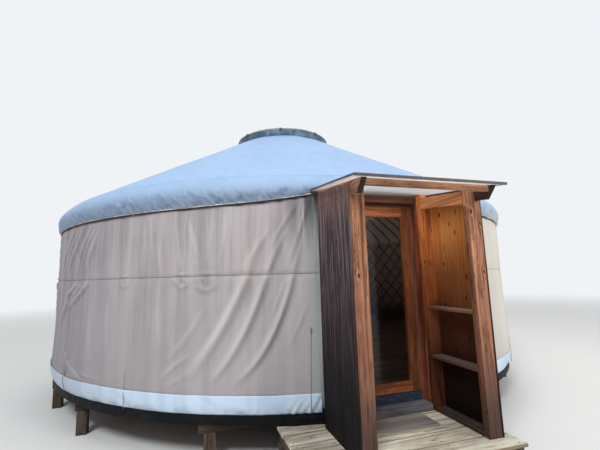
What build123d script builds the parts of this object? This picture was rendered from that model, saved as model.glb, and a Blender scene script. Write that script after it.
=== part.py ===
# Round lattice-walled yurt under cloth, on a raised timber platform, with a boarded porch and a small deck
# at its glazed door. The origin is on the yurt's axis at the ground, under the platform's middle post.
# +Z is up and the door faces -Y. All sizes are in millimetres.
from build123d import *
from math import asin, atan, cos, degrees, hypot, radians, sin, sqrt, tan
import os

# Fits
seat = 0.3                  # between pieces that rest on each other but are not fixed face to face
door_gap = 5                # running gap over the door leaf and behind its beads
lattice_gap = 1             # between the lattice and the felt
pole_gap = 0.5              # between the roof poles and the felt
joist_end_gap = 1           # between the joists' ends and the skirt or the door frame
cloth_clearance = 2         # between cut cloth and the porch
valance_clearance = 10      # above the porch roof sheet

# Timber platform
post_size = 100             # square posts under the bearers
bearer_width = 75
bearer_depth = 75
bearer_rows = 7             # rows of bearers, one of them across the middle
outer_bearer_inset = 430    # of the outermost rows inside the platform's edge
post_bay = 1750             # about this far from post to post along a bearer
floor_top = 430
floor_thickness = 25
joist_width = 47
joist_depth = 90
joist_pitch = 500
skirt_thickness = 10

# Cloth wall
wall_radius = 3600          # outside of the cloth above its bulge
wall_thickness = 45         # felt and cloth together
wall_height = 1932
wall_segments = 6
foot_inset = 10             # the cloth's foot stands this far inside wall_radius
bulge = 34                  # how far the hem band's top edge stands out past wall_radius
bulge_height = 870          # above the floor, where the wall is plumb again
hem_above_floor = 144
hem_below_floor = 22
hem_thickness = 8
hem_clearance = 2           # between the hem band's lower edge and the skirt
girth_rope = 12             # side of the ropes round the wall
girth_rope_height = 1182    # above the floor
eave_rope_drop = 62         # below the top of the wall

# Lattice inside the wall
lath_width = 38
lath_pair = 24              # two crossed laths on top of each other
lattice_sections = 4
panels_per_section = 6      # each section of lattice is drawn as flat panels
diamonds_across = 2         # in each panel
diamonds_high = 3

# Roof
roof_pitch = 29.8           # degrees
roof_thickness = 60         # felt and cloth together
knee_radius = 250           # rounded shoulder at the eave
knee_facets = 3
eave_stand = 20             # how far the valance stands out past wall_radius
valance_drop = 72           # below the top of the wall
valance_thickness = 12
roof_segments = 6
pole_count = 72
pole_size = 34

# Crown
crown_ring_radius = 875
crown_ring_width = 80
crown_ring_depth = 122
crown_ring_drop = 7         # below the roof's outer face
spoke_size = 40
spoke_offset = 170          # of each bar from the middle of the crown
spoke_lift = 10             # above the ring's underside
spoke_rise = 120            # how much the bars arch upwards
rim_overhang = 10           # past the crown ring
rim_thickness = 25
rim_height = 118
dome_rise = 160
dome_thickness = 5
dome_facets = 4

# Door frame and leaf
doorway_width = 940
jamb_width = 60
head_height = 68
frame_setback = 35          # of the frame's front faces inside wall_radius
frame_depth = 155
stop_bead = 15              # square bead that the leaf closes against
leaf_thickness = 50
leaf_side_gap = 9
leaf_foot_gap = 6
stile_width = 100
top_rail_width = 106
bottom_rail_width = 81
glass_thickness = 24
glass_rebate = 12
threshold_nosing = 10       # past wall_radius
threshold_height = 62
sill_width = 65
sill_proud = 10             # above the floor
handle_height = 950         # above the floor
handle_reach = 48
lever_length = 120
lever_width = 18
lever_thickness = 12.6
lever_rounding = 5.4
rose_diameter = 50
rose_thickness = 8
spindle_diameter = 9
spindle_clearance = 1
hinge_count = 3
hinge_end_distance = 200    # from the leaf's end to the nearest hinge
knuckle_diameter = 16
knuckle_length = 40
knuckle_gap = 0.5           # between the knuckles and the leaf's inner face
hinge_pin_diameter = 8
pin_end_gap = 2
hinge_plate_width = 30
hinge_plate_thickness = 2.5

# Porch
deck_top = 300
deck_thickness = 28
deck_left_reach = 378       # past the porch's left side
deck_right_reach = 80
deck_front_reach = 132      # in front of the porch's posts
deck_joist_width = 47
deck_joist_depth = 90
deck_joist_count = 4
deck_leg_size = 75
deck_edge = 20              # how far the joists and legs stand back from the deck's edges
post_reveal = 10            # of the porch's posts beside the doorway
porch_depth = 703           # from the door frame's front faces to the front posts' faces
board_thickness = 20
front_post_width = 120
front_post_depth = 65
back_post_depth = 60
porch_roof_lift = 12        # of the roof's underside over the top of the wall, where they meet
porch_roof_slope = 0.121    # fall for each unit outwards
rafter_width = 45
rafter_depth = 112
rafter_reach = 197          # past the front posts
tail_cut = 85               # how far the tail is cut back at its lower edge
board_drop = 20             # the boards stop this far under the porch roof
rail_drop = 30
rail_depth = 114
rail_width = 45
batten_height = 53
batten_width = 45
batten_reach = 162          # past the front posts
sheet_side_overhang = 50
sheet_front_reach = 232     # past the front posts
sheet_lap = 40              # over the top of the wall
sheet_thickness = 16
shelf_thickness = 24
shelf_heights = (32, 506, 961)  # tops, above the deck

# Worked out from the sizes above
front = -90                 # direction of the door, in degrees
floor_bottom = floor_top - floor_thickness
joist_bottom = floor_bottom - joist_depth
bearer_bottom = joist_bottom - bearer_depth
wall_top = floor_top + wall_height
wall_inner = wall_radius - wall_thickness
wall_foot_radius = wall_radius - foot_inset
platform_radius = wall_foot_radius - skirt_thickness
middle_bearer = (bearer_rows - 1) / 2
bearer_row_pitch = (platform_radius - outer_bearer_inset) / middle_bearer
bulge_radius = wall_radius + bulge
lattice_outer = wall_inner - lattice_gap
eave_radius = wall_radius + eave_stand
knee_centre = eave_radius - knee_radius
knee_level = wall_top + seat
jamb_inner = doorway_width / 2
jamb_outer = jamb_inner + jamb_width
frame_front = wall_radius - frame_setback
frame_back = frame_front - frame_depth
leaf_face = frame_back + leaf_thickness
leaf_half = jamb_inner - leaf_side_gap
head_bottom = wall_top - head_height
leaf_top = head_bottom - door_gap
threshold_top = deck_top + threshold_height
sill_top = floor_top + sill_proud
leaf_bottom = sill_top + leaf_foot_gap
bead_back = leaf_face + door_gap
bead_front = bead_back + stop_bead
hinge_x = (leaf_half + jamb_inner) / 2
hinge_y = -(frame_back - knuckle_diameter / 2 - knuckle_gap)
post_inner = jamb_inner + post_reveal
rafter_outer = post_inner + front_post_width
rafter_inner = rafter_outer - rafter_width
porch_half_width = rafter_outer + board_thickness
porch_front = frame_front + porch_depth
post_back = porch_front - front_post_depth
back_post_face = frame_front + back_post_depth
eave_height_at_wall = wall_top + porch_roof_lift
sheet_half_width = porch_half_width + sheet_side_overhang
door_half_angle = degrees(asin((jamb_outer + seat) / wall_inner))


def block(x0, x1, y0, y1, z0, z1):
    """Box between two corners."""
    size = (x1 - x0, y1 - y0, z1 - z0)
    return Pos((x0 + x1) / 2, (y0 + y1) / 2, (z0 + z1) / 2) * Box(*size)


def front_block(half_width, near, far, z0, z1):
    """Box across the door's axis, between two distances from the yurt's axis."""
    return block(-half_width, half_width, -far, -near, z0, z1)


def polygon(points):
    return make_face(Polyline(*points, close=True))


def ring(outline, start, sweep):
    """Outline of radii and heights turned about the yurt's axis."""
    return Rot(0, 0, start) * revolve(Plane.XZ * outline, axis=Axis.Z, revolution_arc=sweep)


def ring_bar(inner, outer, bottom, top):
    """Whole ring of rectangular section."""
    return ring(polygon([(inner, bottom), (outer, bottom), (outer, top), (inner, top)]), 0, 360)


def write(name, *solids):
    shapes = [piece for solid in solids for piece in solid.solids()]
    part = shapes[0] if len(shapes) == 1 else Compound(children=shapes)
    part.label = name
    export_step(part, f"parts/{name}.step")


def both_sides(solid):
    """The left-hand mirror image and the right-hand piece."""
    return [mirror(solid, about=Plane.YZ), solid]


def doorway(near, bottom, top):
    """What is cut away for the door frame, from a distance to the yurt's axis outwards."""
    return front_block(jamb_outer + seat, near, 2 * wall_radius, bottom, top)


def bearer_half_length(y):
    """Half the chord of the platform along a bearer's outer edge."""
    edge = abs(y) + bearer_width / 2
    return sqrt((platform_radius + skirt_thickness) ** 2 - edge ** 2)


def post_reach(y):
    """Furthest that a post's middle may stand along a bearer, with its corners inside the skirt."""
    edge = abs(y) + post_size / 2
    return sqrt(platform_radius ** 2 - edge ** 2) - post_size / 2


def platform():
    half_post = post_size / 2
    post = block(-half_post, half_post, -half_post, half_post, 0, bearer_bottom)
    write("platform_centre_post", post)
    posts = []
    bearers = []
    half_bearer = bearer_width / 2
    for row in range(bearer_rows):
        y = (row - middle_bearer) * bearer_row_pitch
        half = bearer_half_length(y)
        bearers.append(block(-half, half, y - half_bearer, y + half_bearer, bearer_bottom, joist_bottom))
        middle_row = y == 0
        bays = 2 * round(half / post_bay) if middle_row else round(2 * half / post_bay)
        for k in range(bays + 1):
            if not (middle_row and 2 * k == bays):
                posts.append(Pos((2 * k / bays - 1) * post_reach(y), y, 0) * post)
    write("platform_posts", *posts)
    write("platform_bearers", *bearers)

    joists = []
    reach = platform_radius - joist_end_gap
    count = int((platform_radius - joist_width) // joist_pitch)
    half_joist = joist_width / 2
    for k in range(-count, count + 1):
        x = k * joist_pitch
        half = sqrt(reach ** 2 - (abs(x) + half_joist) ** 2)
        behind_door = abs(x) - half_joist < jamb_outer + seat
        start = min(half, frame_back - joist_end_gap) if behind_door else half
        joists.append(block(x - half_joist, x + half_joist, -start, half, joist_bottom, floor_bottom))
    write("platform_joists", *joists)

    frame_cut = doorway(frame_back - seat, 0, wall_top)
    floor = Pos(0, 0, (floor_bottom + floor_top) / 2) * Cylinder(platform_radius - seat, floor_thickness)
    write("floor_deck", floor - frame_cut)
    skirt = ring_bar(platform_radius, platform_radius + skirt_thickness, joist_bottom, floor_top)
    write("platform_skirt", skirt - frame_cut)


def round_pieces(name, outline, start, sweep, count, cuts):
    """Equal segments of a turned shell, one after the other from a starting direction."""
    for k in range(count):
        piece = ring(outline, start + k * sweep, sweep)
        for cut in cuts:
            piece = piece - cut
        write(f"{name}_{k + 1}", piece)


def round_to_porch(outline, radius):
    """Outline turned about the yurt's axis from one side of the porch to the other."""
    clear = degrees(asin((porch_half_width + cloth_clearance) / radius))
    return ring(outline, front + clear, 360 - 2 * clear)


def wall():
    foot = floor_top + seat
    hem_top = floor_top + hem_above_floor
    hem_bottom = floor_top - hem_below_floor
    band_back = bulge_radius - hem_thickness - seat
    outline = polygon([(wall_inner, foot), (wall_foot_radius, foot), (band_back, hem_top),
                       (wall_radius, floor_top + bulge_height), (wall_radius, wall_top),
                       (wall_inner, wall_top)])
    high = 2 * wall_top
    behind_porch = front_block(porch_half_width + seat, frame_front - seat, 2 * wall_radius, 0, high)
    sweep = (360 - 2 * door_half_angle) / wall_segments
    round_pieces("wall_canvas", outline, front + door_half_angle, sweep, wall_segments,
                 [doorway(0, 0, high), behind_porch])

    band_foot = platform_radius + skirt_thickness + hem_clearance
    band = polygon([(band_foot, hem_bottom), (band_foot + hem_thickness, hem_bottom),
                    (bulge_radius, hem_top), (bulge_radius - hem_thickness, hem_top)])
    write("hem_band", round_to_porch(band, band_foot))
    ropes = []
    levels = ((wall_radius, floor_top + girth_rope_height), (eave_radius, wall_top - eave_rope_drop))
    for radius, height in levels:
        section = Pos(radius + seat + girth_rope / 2, height) * Rectangle(girth_rope, girth_rope)
        ropes.append(round_to_porch(section, radius))
    write("girth_ropes", *ropes)


def lattice():
    sweep = (360 - 2 * door_half_angle) / (lattice_sections * panels_per_section)
    half_sweep = radians(sweep / 2)
    chord = 2 * lattice_outer * sin(half_sweep)
    bottom = floor_top + seat
    height = wall_top - seat - bottom
    across = chord / diamonds_across
    slope = degrees(atan(height / diamonds_high / across))
    length = 2 * (diamonds_high + 1) * hypot(across, height / diamonds_high)
    laths = Sketch()
    for k in range(-diamonds_high, diamonds_across + diamonds_high + 1):
        for lean in (slope, -slope):
            laths += Pos(k * across - chord / 2, 0) * Rot(0, 0, lean) * Rectangle(length, lath_width)
    frame = Pos(0, height / 2) * Rectangle(chord, height)
    face = lattice_outer * cos(half_sweep) - lath_pair
    stand = Plane(origin=(face, 0, bottom), x_dir=(0, 1, 0), z_dir=(1, 0, 0))
    panel = stand * extrude(laths & frame, lath_pair)
    side = 2 * lattice_outer * tan(half_sweep - seat / 2 / lattice_outer)
    sector = polygon([(0, 0), (2 * lattice_outer, -side), (2 * lattice_outer, side)])
    panel = panel & extrude(sector, 2 * wall_top)
    cut = doorway(0, 0, 2 * wall_top)
    for section in range(lattice_sections):
        first = section * panels_per_section
        angles = [front + door_half_angle + (first + k + 0.5) * sweep for k in range(panels_per_section)]
        write(f"lattice_{section + 1}", *[Rot(0, 0, angle) * panel - cut for angle in angles])


def roof_point(depth, radius):
    """Height of the roof's slope at a radius, so far inside its outer face."""
    start_radius, start_height = knee_points(depth)[0]
    return start_height + (start_radius - radius) * tan(radians(roof_pitch))


def knee_points(depth):
    """Corners of the rounded shoulder, from the slope down to the wall, so far inside the outer face."""
    r = knee_radius - depth
    angles = [radians((90 - roof_pitch) * (1 - k / knee_facets)) for k in range(knee_facets + 1)]
    return [(knee_centre + r * cos(a), knee_level + r * sin(a)) for a in angles]


def bent_strip(inner_end, depth, thickness):
    """Outline of what follows the roof's slope and shoulder, from a radius at the crown out to the wall."""
    outer = [(inner_end, roof_point(depth, inner_end)), *knee_points(depth)]
    under = depth + thickness
    return [*outer, *reversed(knee_points(under)), (inner_end, roof_point(under, inner_end))]


def roof():
    inner_end = crown_ring_radius + seat
    strip = bent_strip(inner_end, 0, roof_thickness)
    valance_bottom = wall_top - valance_drop
    valance_inner = eave_radius - valance_thickness
    corner = knee_facets + 2
    valance = [(eave_radius, valance_bottom), (valance_inner, valance_bottom), (valance_inner, knee_level)]
    outline = polygon(strip[:corner] + valance + strip[corner:])
    sheet_top = eave_height_at_wall + sheet_thickness + valance_clearance
    porch_cut = front_block(sheet_half_width + cloth_clearance, 0, 2 * wall_radius, 0, sheet_top)
    round_pieces("roof_canvas", outline, front, 360 / roof_segments, roof_segments, [porch_cut])

    bent = polygon(bent_strip(inner_end, roof_thickness + pole_gap, pole_size))
    pole = extrude(Plane.XZ * bent, pole_size / 2, both=True)
    write("roof_poles", *[Rot(0, 0, front + 360 * k / pole_count) * pole for k in range(pole_count)])


def dome_points(radius, rise, base):
    """Corners of a shallow round arc, from its foot up to the yurt's axis."""
    curve = (radius ** 2 + rise ** 2) / (2 * rise)
    angles = [asin(radius / curve) * (1 - k / dome_facets) for k in range(dome_facets + 1)]
    return [(curve * sin(a), base + rise - curve * (1 - cos(a))) for a in angles]


def crown():
    ring_top = roof_point(0, crown_ring_radius) - crown_ring_drop
    ring_bottom = ring_top - crown_ring_depth
    inner = crown_ring_radius - crown_ring_width
    write("crown_ring", ring_bar(inner, crown_ring_radius, ring_bottom, ring_top))

    level = ring_bottom + spoke_lift
    top = level + spoke_size
    arch = make_face([
        ThreePointArc((-crown_ring_radius, level), (0, level + spoke_rise), (crown_ring_radius, level)),
        Line((crown_ring_radius, level), (crown_ring_radius, top)),
        ThreePointArc((crown_ring_radius, top), (0, top + spoke_rise), (-crown_ring_radius, top)),
        Line((-crown_ring_radius, top), (-crown_ring_radius, level)),
    ])
    bar = extrude(Plane.XZ * arch, spoke_size / 2, both=True)
    pair = Pos(0, -spoke_offset, 0) * bar + Pos(0, spoke_offset, 0) * bar
    grid = pair + Rot(0, 0, 90) * pair
    write("crown_spokes", grid & (Pos(0, 0, level) * Cylinder(inner - seat, 4 * spoke_rise)))

    rim_radius = crown_ring_radius + rim_overhang
    rim_bottom = ring_top + seat
    rim_top = ring_top + rim_height
    back = rim_radius - rim_thickness
    write("crown_rim", ring(polygon([
        (back, rim_bottom), (crown_ring_radius, rim_bottom),
        (crown_ring_radius, roof_point(0, crown_ring_radius) + seat),
        (rim_radius, roof_point(0, rim_radius) + seat), (rim_radius, rim_top), (back, rim_top)]), 0, 360))

    outside = dome_points(rim_radius, dome_rise, rim_top + seat)
    inside = dome_points(back, dome_rise - dome_thickness, rim_top + seat)
    write("crown_dome", ring(polygon([*outside, *reversed(inside)]), 0, 360))


def door_frame():
    jamb = block(jamb_inner, jamb_outer, -frame_front, -frame_back, deck_top, wall_top)
    bead = block(jamb_inner - stop_bead, jamb_inner, -bead_front, -bead_back, threshold_top, head_bottom)
    left, right = both_sides(jamb + bead)
    write("door_left_jamb", left)
    write("door_right_jamb", right)
    head = front_block(jamb_inner, frame_back, frame_front, head_bottom, wall_top)
    bead_bottom = head_bottom - stop_bead
    head_bead = front_block(jamb_inner - stop_bead, bead_back, bead_front, bead_bottom, head_bottom)
    write("door_head", head + head_bead)
    write("door_threshold", front_block(jamb_inner, frame_back, wall_radius + threshold_nosing, deck_top,
                                        threshold_top))
    sill = front_block(jamb_inner, frame_back, frame_back + sill_width, threshold_top, sill_top)
    write("door_sill", sill - both_sides(bead))


def hinge_heights():
    low = leaf_bottom + hinge_end_distance
    high = leaf_top - hinge_end_distance - 2 * knuckle_length
    return [low + (high - low) * k / (hinge_count - 1) for k in range(hinge_count)]


def upright(diameter, height, z):
    """Round bar on the hinges' axis."""
    cylinder = Cylinder(diameter / 2, height, align=(Align.CENTER, Align.CENTER, Align.MIN))
    return Pos(hinge_x, hinge_y, z) * cylinder


def door_leaf():
    leaf = front_block(leaf_half, frame_back, leaf_face, leaf_bottom, leaf_top)
    glass_half = leaf_half - stile_width
    glass_bottom = leaf_bottom + bottom_rail_width
    glass_top = leaf_top - top_rail_width
    middle = (leaf_face + frame_back) / 2
    half_glass = glass_thickness / 2
    opening = front_block(glass_half, 0, 2 * leaf_face, glass_bottom, glass_top)
    rebate = front_block(glass_half + glass_rebate, middle - half_glass, middle + half_glass,
                         glass_bottom - glass_rebate, glass_top + glass_rebate)
    spindle_x = -leaf_half + stile_width / 2
    spindle_z = floor_top + handle_height
    across = Pos(spindle_x, -middle, spindle_z) * Rot(90, 0, 0)
    hole = across * Cylinder(spindle_diameter / 2 + spindle_clearance, 2 * leaf_thickness)
    write("door_leaf", leaf - opening - rebate - hole)
    fit = glass_rebate - seat
    faces = (middle - half_glass + seat, middle + half_glass - seat)
    write("door_glass", front_block(glass_half + fit, *faces, glass_bottom - fit, glass_top + fit))

    handle = across * Cylinder(spindle_diameter / 2, leaf_thickness + 2 * handle_reach)
    lever = Box(lever_length, lever_thickness, lever_width)
    lever = fillet(lever.edges().filter_by(Axis.X), lever_rounding)
    lever_middle = spindle_x + (lever_length - lever_width) / 2
    for side in (-1, 1):
        face = -middle + side * leaf_thickness / 2
        rose = Rot(90, 0, 0) * Cylinder(rose_diameter / 2, rose_thickness)
        handle += Pos(spindle_x, face + side * (seat + rose_thickness / 2), spindle_z) * rose
        handle += Pos(lever_middle, face + side * handle_reach, spindle_z) * lever
    write("door_handle", handle)

    frame_halves = []
    leaf_halves = []
    radius = knuckle_diameter / 2
    plate_y = (-frame_back, -frame_back + hinge_plate_thickness)
    for low in hinge_heights():
        high = low + knuckle_length + seat
        levels = (low, low + knuckle_length)
        frame_plate = block(hinge_x + radius / 2, jamb_inner + hinge_plate_width, *plate_y, *levels)
        pin = upright(hinge_pin_diameter, 2 * knuckle_length - pin_end_gap, low)
        frame_halves.append(upright(knuckle_diameter, knuckle_length, low) + pin + frame_plate)
        levels = (high, high + knuckle_length)
        leaf_plate = block(leaf_half - hinge_plate_width, hinge_x - radius / 2, *plate_y, *levels)
        bore = upright(hinge_pin_diameter + 2 * seat, 2 * knuckle_length, low)
        leaf_halves.append(upright(knuckle_diameter, knuckle_length, high) + leaf_plate - bore)
    write("hinge_frame_halves", *frame_halves)
    write("hinge_leaf_halves", *leaf_halves)


def deck():
    left = -(porch_half_width + deck_left_reach)
    right = porch_half_width + deck_right_reach
    far = porch_front + deck_front_reach
    joist_top = deck_top - deck_thickness
    joist_low = joist_top - deck_joist_depth
    write("porch_deck", block(left, right, -far, -frame_back, joist_top, deck_top))
    first = left + deck_edge + deck_joist_width / 2
    last = right - deck_edge - deck_joist_width / 2
    joists = []
    legs = []
    half_joist = deck_joist_width / 2
    half_leg = deck_leg_size / 2
    for k in range(deck_joist_count):
        x = first + (last - first) * k / (deck_joist_count - 1)
        start = -(far - deck_edge)
        end = -(frame_back + deck_edge)
        joists.append(block(x - half_joist, x + half_joist, start, end, joist_low, joist_top))
        for y in (start + half_leg, end - half_leg):
            legs.append(block(x - half_leg, x + half_leg, y - half_leg, y + half_leg, 0, joist_low))
    write("deck_joists", *joists)
    write("deck_legs", *legs)


def porch_roof_height(distance):
    """Underside of the porch roof at a distance from the yurt's axis."""
    return eave_height_at_wall - porch_roof_slope * (distance - wall_radius)


def under_porch_roof(solid, drop):
    """The part of a solid that lies under the porch roof, so far below it."""
    far = 2 * porch_front
    tops = [(-distance, porch_roof_height(distance) - drop) for distance in (0, far)]
    outline = polygon([(0, 0), *tops, (-far, 0)])
    return solid & extrude(Plane.YZ * outline, porch_front, both=True)


def sloped_bar(x0, x1, near, far, drop, depth, cut_back=0):
    """Bar along the porch roof's slope, with its far end cut back at the lower edge."""
    outline = polygon([(-near, porch_roof_height(near) - drop), (-far, porch_roof_height(far) - drop),
                       (-far + cut_back, porch_roof_height(far - cut_back) - drop - depth),
                       (-near, porch_roof_height(near) - drop - depth)])
    return extrude(Plane.YZ.offset(x0) * outline, x1 - x0)


def porch():
    high = 2 * wall_top
    tail = porch_front + rafter_reach
    rafter = sloped_bar(rafter_inner, rafter_outer, wall_radius, tail, 0, rafter_depth, tail_cut)
    left, right = both_sides(rafter)
    write("porch_left_rafter", left)
    write("porch_right_rafter", right)

    post = under_porch_roof(block(post_inner, rafter_outer, -porch_front, -post_back, deck_top, high), 0)
    notch_depth = rafter_depth + seat
    notch = sloped_bar(rafter_inner - seat, porch_half_width, wall_radius - seat, tail, 0, notch_depth)
    left, right = both_sides(post - notch)
    write("porch_left_front_post", left)
    write("porch_right_front_post", right)

    back_post = block(post_inner, rafter_outer, -back_post_face, -frame_front, deck_top, high)
    write("porch_back_posts", *both_sides(under_porch_roof(back_post, seat) - notch))

    rail = sloped_bar(post_inner, post_inner + rail_width, back_post_face, post_back, rail_drop, rail_depth)
    write("porch_top_rails", *both_sides(rail))

    boards = block(rafter_outer, porch_half_width, -porch_front, -wall_radius, deck_top, high)
    left, right = both_sides(under_porch_roof(boards, board_drop))
    write("porch_left_boards", left)
    write("porch_right_boards", right)

    tops = [deck_top + height for height in shelf_heights]
    depth = (-post_back, -back_post_face)
    shelves = [block(post_inner, rafter_outer, *depth, top - shelf_thickness, top) for top in tops]
    write("porch_left_shelves", *[mirror(shelf, about=Plane.YZ) for shelf in shelves])
    write("porch_right_shelves", *shelves)

    batten_face = porch_front + batten_reach
    batten_half = rafter_inner - seat
    batten_back = batten_face - batten_width
    batten = sloped_bar(-batten_half, batten_half, batten_back, batten_face, seat, batten_height)
    write("porch_front_batten", batten)
    sheet = sloped_bar(-sheet_half_width, sheet_half_width, wall_radius - sheet_lap,
                       porch_front + sheet_front_reach, -seat - sheet_thickness, sheet_thickness)
    write("porch_roof_sheet", sheet)


os.makedirs("parts", exist_ok=True)
platform()
wall()
lattice()
roof()
crown()
door_frame()
door_leaf()
deck()
porch()
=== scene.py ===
import math

import bpy
import numpy as np
from mathutils import Matrix, Vector


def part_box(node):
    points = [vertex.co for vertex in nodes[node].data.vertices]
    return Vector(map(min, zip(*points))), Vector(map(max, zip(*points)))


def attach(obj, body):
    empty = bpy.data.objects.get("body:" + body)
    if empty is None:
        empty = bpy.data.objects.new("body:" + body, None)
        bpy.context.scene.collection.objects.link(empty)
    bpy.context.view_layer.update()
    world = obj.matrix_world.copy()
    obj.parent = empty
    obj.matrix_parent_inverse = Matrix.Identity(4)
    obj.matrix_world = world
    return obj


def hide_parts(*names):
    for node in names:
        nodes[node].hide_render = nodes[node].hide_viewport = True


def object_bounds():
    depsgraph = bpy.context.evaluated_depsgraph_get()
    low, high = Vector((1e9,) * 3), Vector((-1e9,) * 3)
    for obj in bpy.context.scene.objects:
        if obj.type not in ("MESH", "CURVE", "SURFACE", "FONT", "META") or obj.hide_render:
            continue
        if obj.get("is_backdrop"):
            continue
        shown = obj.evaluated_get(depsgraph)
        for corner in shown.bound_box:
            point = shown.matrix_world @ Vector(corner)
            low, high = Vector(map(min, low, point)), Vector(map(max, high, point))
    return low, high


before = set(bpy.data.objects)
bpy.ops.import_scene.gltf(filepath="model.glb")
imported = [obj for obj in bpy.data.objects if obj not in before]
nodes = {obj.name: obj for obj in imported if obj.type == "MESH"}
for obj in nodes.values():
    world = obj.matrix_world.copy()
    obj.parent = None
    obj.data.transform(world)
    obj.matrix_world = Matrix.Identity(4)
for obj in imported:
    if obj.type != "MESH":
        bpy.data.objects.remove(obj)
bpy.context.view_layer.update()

# Viewpoint
# A phone held at eye height, turned slightly up, a few metres in front of the porch and to its left.
eye = Vector((-1.742, -6.658, 1.577))
looking = Vector((0.29267, 0.94511, 0.14531))
upwards = Vector((-0.01654, -0.14694, 0.98901))
back = -looking.normalized()
right = upwards.cross(back).normalized()
up = back.cross(right)
camera = bpy.data.objects.new("viewpoint", bpy.data.cameras.new("viewpoint"))
camera.data.sensor_width = 36
camera.data.lens = 21.31
camera.data.clip_end = 400
camera.matrix_world = Matrix.Translation(eye) @ Matrix((right, up, back)).transposed().to_4x4()
bpy.context.scene.collection.objects.link(camera)
bpy.context.scene.camera = camera
bpy.context.scene.view_settings.view_transform = "Standard"


# Studio
# One pale matt floor that fades into a pale backdrop. Two broad lamps stand in front, to the right and left,
# one behind, and a dim one inside stands for the daylight that the roof throws back.
class Value:
    """A socket in a node tree, on which Python arithmetic adds Math nodes."""

    def __init__(self, recipe, socket):
        self.recipe = recipe
        self.socket = socket

    def math(self, operation, *values):
        return self.recipe.add("ShaderNodeMath", {"operation": operation}, dict(enumerate(values)))

    def __add__(self, other):
        return self.math("ADD", self, other)

    __radd__ = __add__

    def __sub__(self, other):
        return self.math("SUBTRACT", self, other)

    def __rsub__(self, other):
        return self.math("SUBTRACT", other, self)

    def __mul__(self, other):
        return self.math("MULTIPLY", self, other)

    __rmul__ = __mul__

    def __pow__(self, other):
        return self.math("POWER", self, other)

    def __abs__(self):
        return self.math("ABSOLUTE", self)

    def sine(self):
        return self.math("SINE", self)

    def greater(self, other):
        return self.math("MAXIMUM", self, other)

    def step(self, start, end):
        """0 at start and 1 at end, with a smooth way between them."""
        settings = {"interpolation_type": "SMOOTHSTEP"}
        return self.recipe.add("ShaderNodeMapRange", settings, {0: self, 1: start, 2: end})


class Recipe:
    """A node tree that is built node by node."""

    def __init__(self, tree):
        self.tree = tree
        self.tree.nodes.clear()

    def add(self, kind, settings=None, sockets=None, out=0):
        node = self.tree.nodes.new(kind)
        for key, value in (settings or {}).items():
            if key == "stops":
                ramp = node.color_ramp
                for end in (0, -1):
                    ramp.elements[end].position, ramp.elements[end].color = value[end]
                for place, colour in value[1:-1]:
                    ramp.elements.new(place).color = colour
            else:
                setattr(node, key, value)
        for key, value in (sockets or {}).items():
            if isinstance(value, Value):
                self.tree.links.new(value.socket, node.inputs[key])
            else:
                node.inputs[key].default_value = value
        return Value(self, node.outputs[out] if len(node.outputs) else None)

    def seen_directly(self):
        """1 for what the camera, a reflection or a pane of glass shows, and 0 for light on the object."""
        rays = [self.add("ShaderNodeLightPath", out=f"Is {kind} Ray") for kind in ("Camera", "Glossy", "Transmission")]
        return rays[0].greater(rays[1]).greater(rays[2])


class Paint(Recipe):
    """A material."""

    def __init__(self, name):
        self.material = bpy.data.materials.new(name)
        self.material.use_nodes = True
        super().__init__(self.material.node_tree)

    def place(self):
        return self.add("ShaderNodeTexCoord", out="Object")

    def axes(self, vector):
        return [self.add("ShaderNodeSeparateXYZ", {}, {0: vector}, out) for out in range(3)]

    def facing(self):
        """The surface's own direction, as three values."""
        return self.axes(self.add("ShaderNodeNewGeometry", out="True Normal"))

    def attribute(self, name):
        return self.add("ShaderNodeAttribute", {"attribute_name": name}, out="Fac")

    def mapped(self, vector, scale, shift=(0, 0, 0)):
        return self.add("ShaderNodeMapping", {}, {"Vector": vector, "Scale": scale, "Location": shift})

    def noise(self, vector, scale, detail=4, roughness=0.55, shift=(0, 0, 0)):
        """Noise whose grains are so many to the metre along X, Y and Z."""
        sockets = {"Vector": self.mapped(vector, scale, shift), "Scale": 1.0, "Detail": detail, "Roughness": roughness}
        return self.add("ShaderNodeTexNoise", {}, sockets)

    def mix(self, share, first, second, blend="MIX"):
        settings = {"data_type": "RGBA", "blend_type": blend}
        return self.add("ShaderNodeMix", settings, {0: share, 6: first, 7: second}, out=2)

    def shade(self, share, colour, shadow):
        return self.mix(share, colour, shadow, "MULTIPLY")

    def ramp(self, value, stops):
        return self.add("ShaderNodeValToRGB", {"stops": stops}, {0: value})

    def surface(self, colour, roughness, height=None, relief=0.001, **sockets):
        """Ends the material with a Principled surface, whose bump is so many metres deep."""
        values = {"Base Color": colour, "Roughness": roughness}
        values.update({key.replace("_", " "): value for key, value in sockets.items()})
        if height is not None:
            values["Normal"] = self.add("ShaderNodeBump", {}, {"Strength": 1.0, "Distance": relief, "Height": height})
        shader = self.add("ShaderNodeBsdfPrincipled", {}, values)
        self.add("ShaderNodeOutputMaterial", {}, {"Surface": shader})
        return self.material


def tone(red, green, blue):
    """A colour from the 0 to 255 values at which it is seen."""
    linear = [((c / 255 + 0.055) / 1.055) ** 2.4 if c > 10 else c / 255 / 12.92 for c in (red, green, blue)]
    return (*linear, 1.0)


def settle(piece, material):
    """Puts a piece in the scene with its material."""
    if piece.name not in bpy.context.scene.collection.objects:
        bpy.context.scene.collection.objects.link(piece)
    piece.data.materials.clear()
    piece.data.materials.append(material)
    return piece


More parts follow.
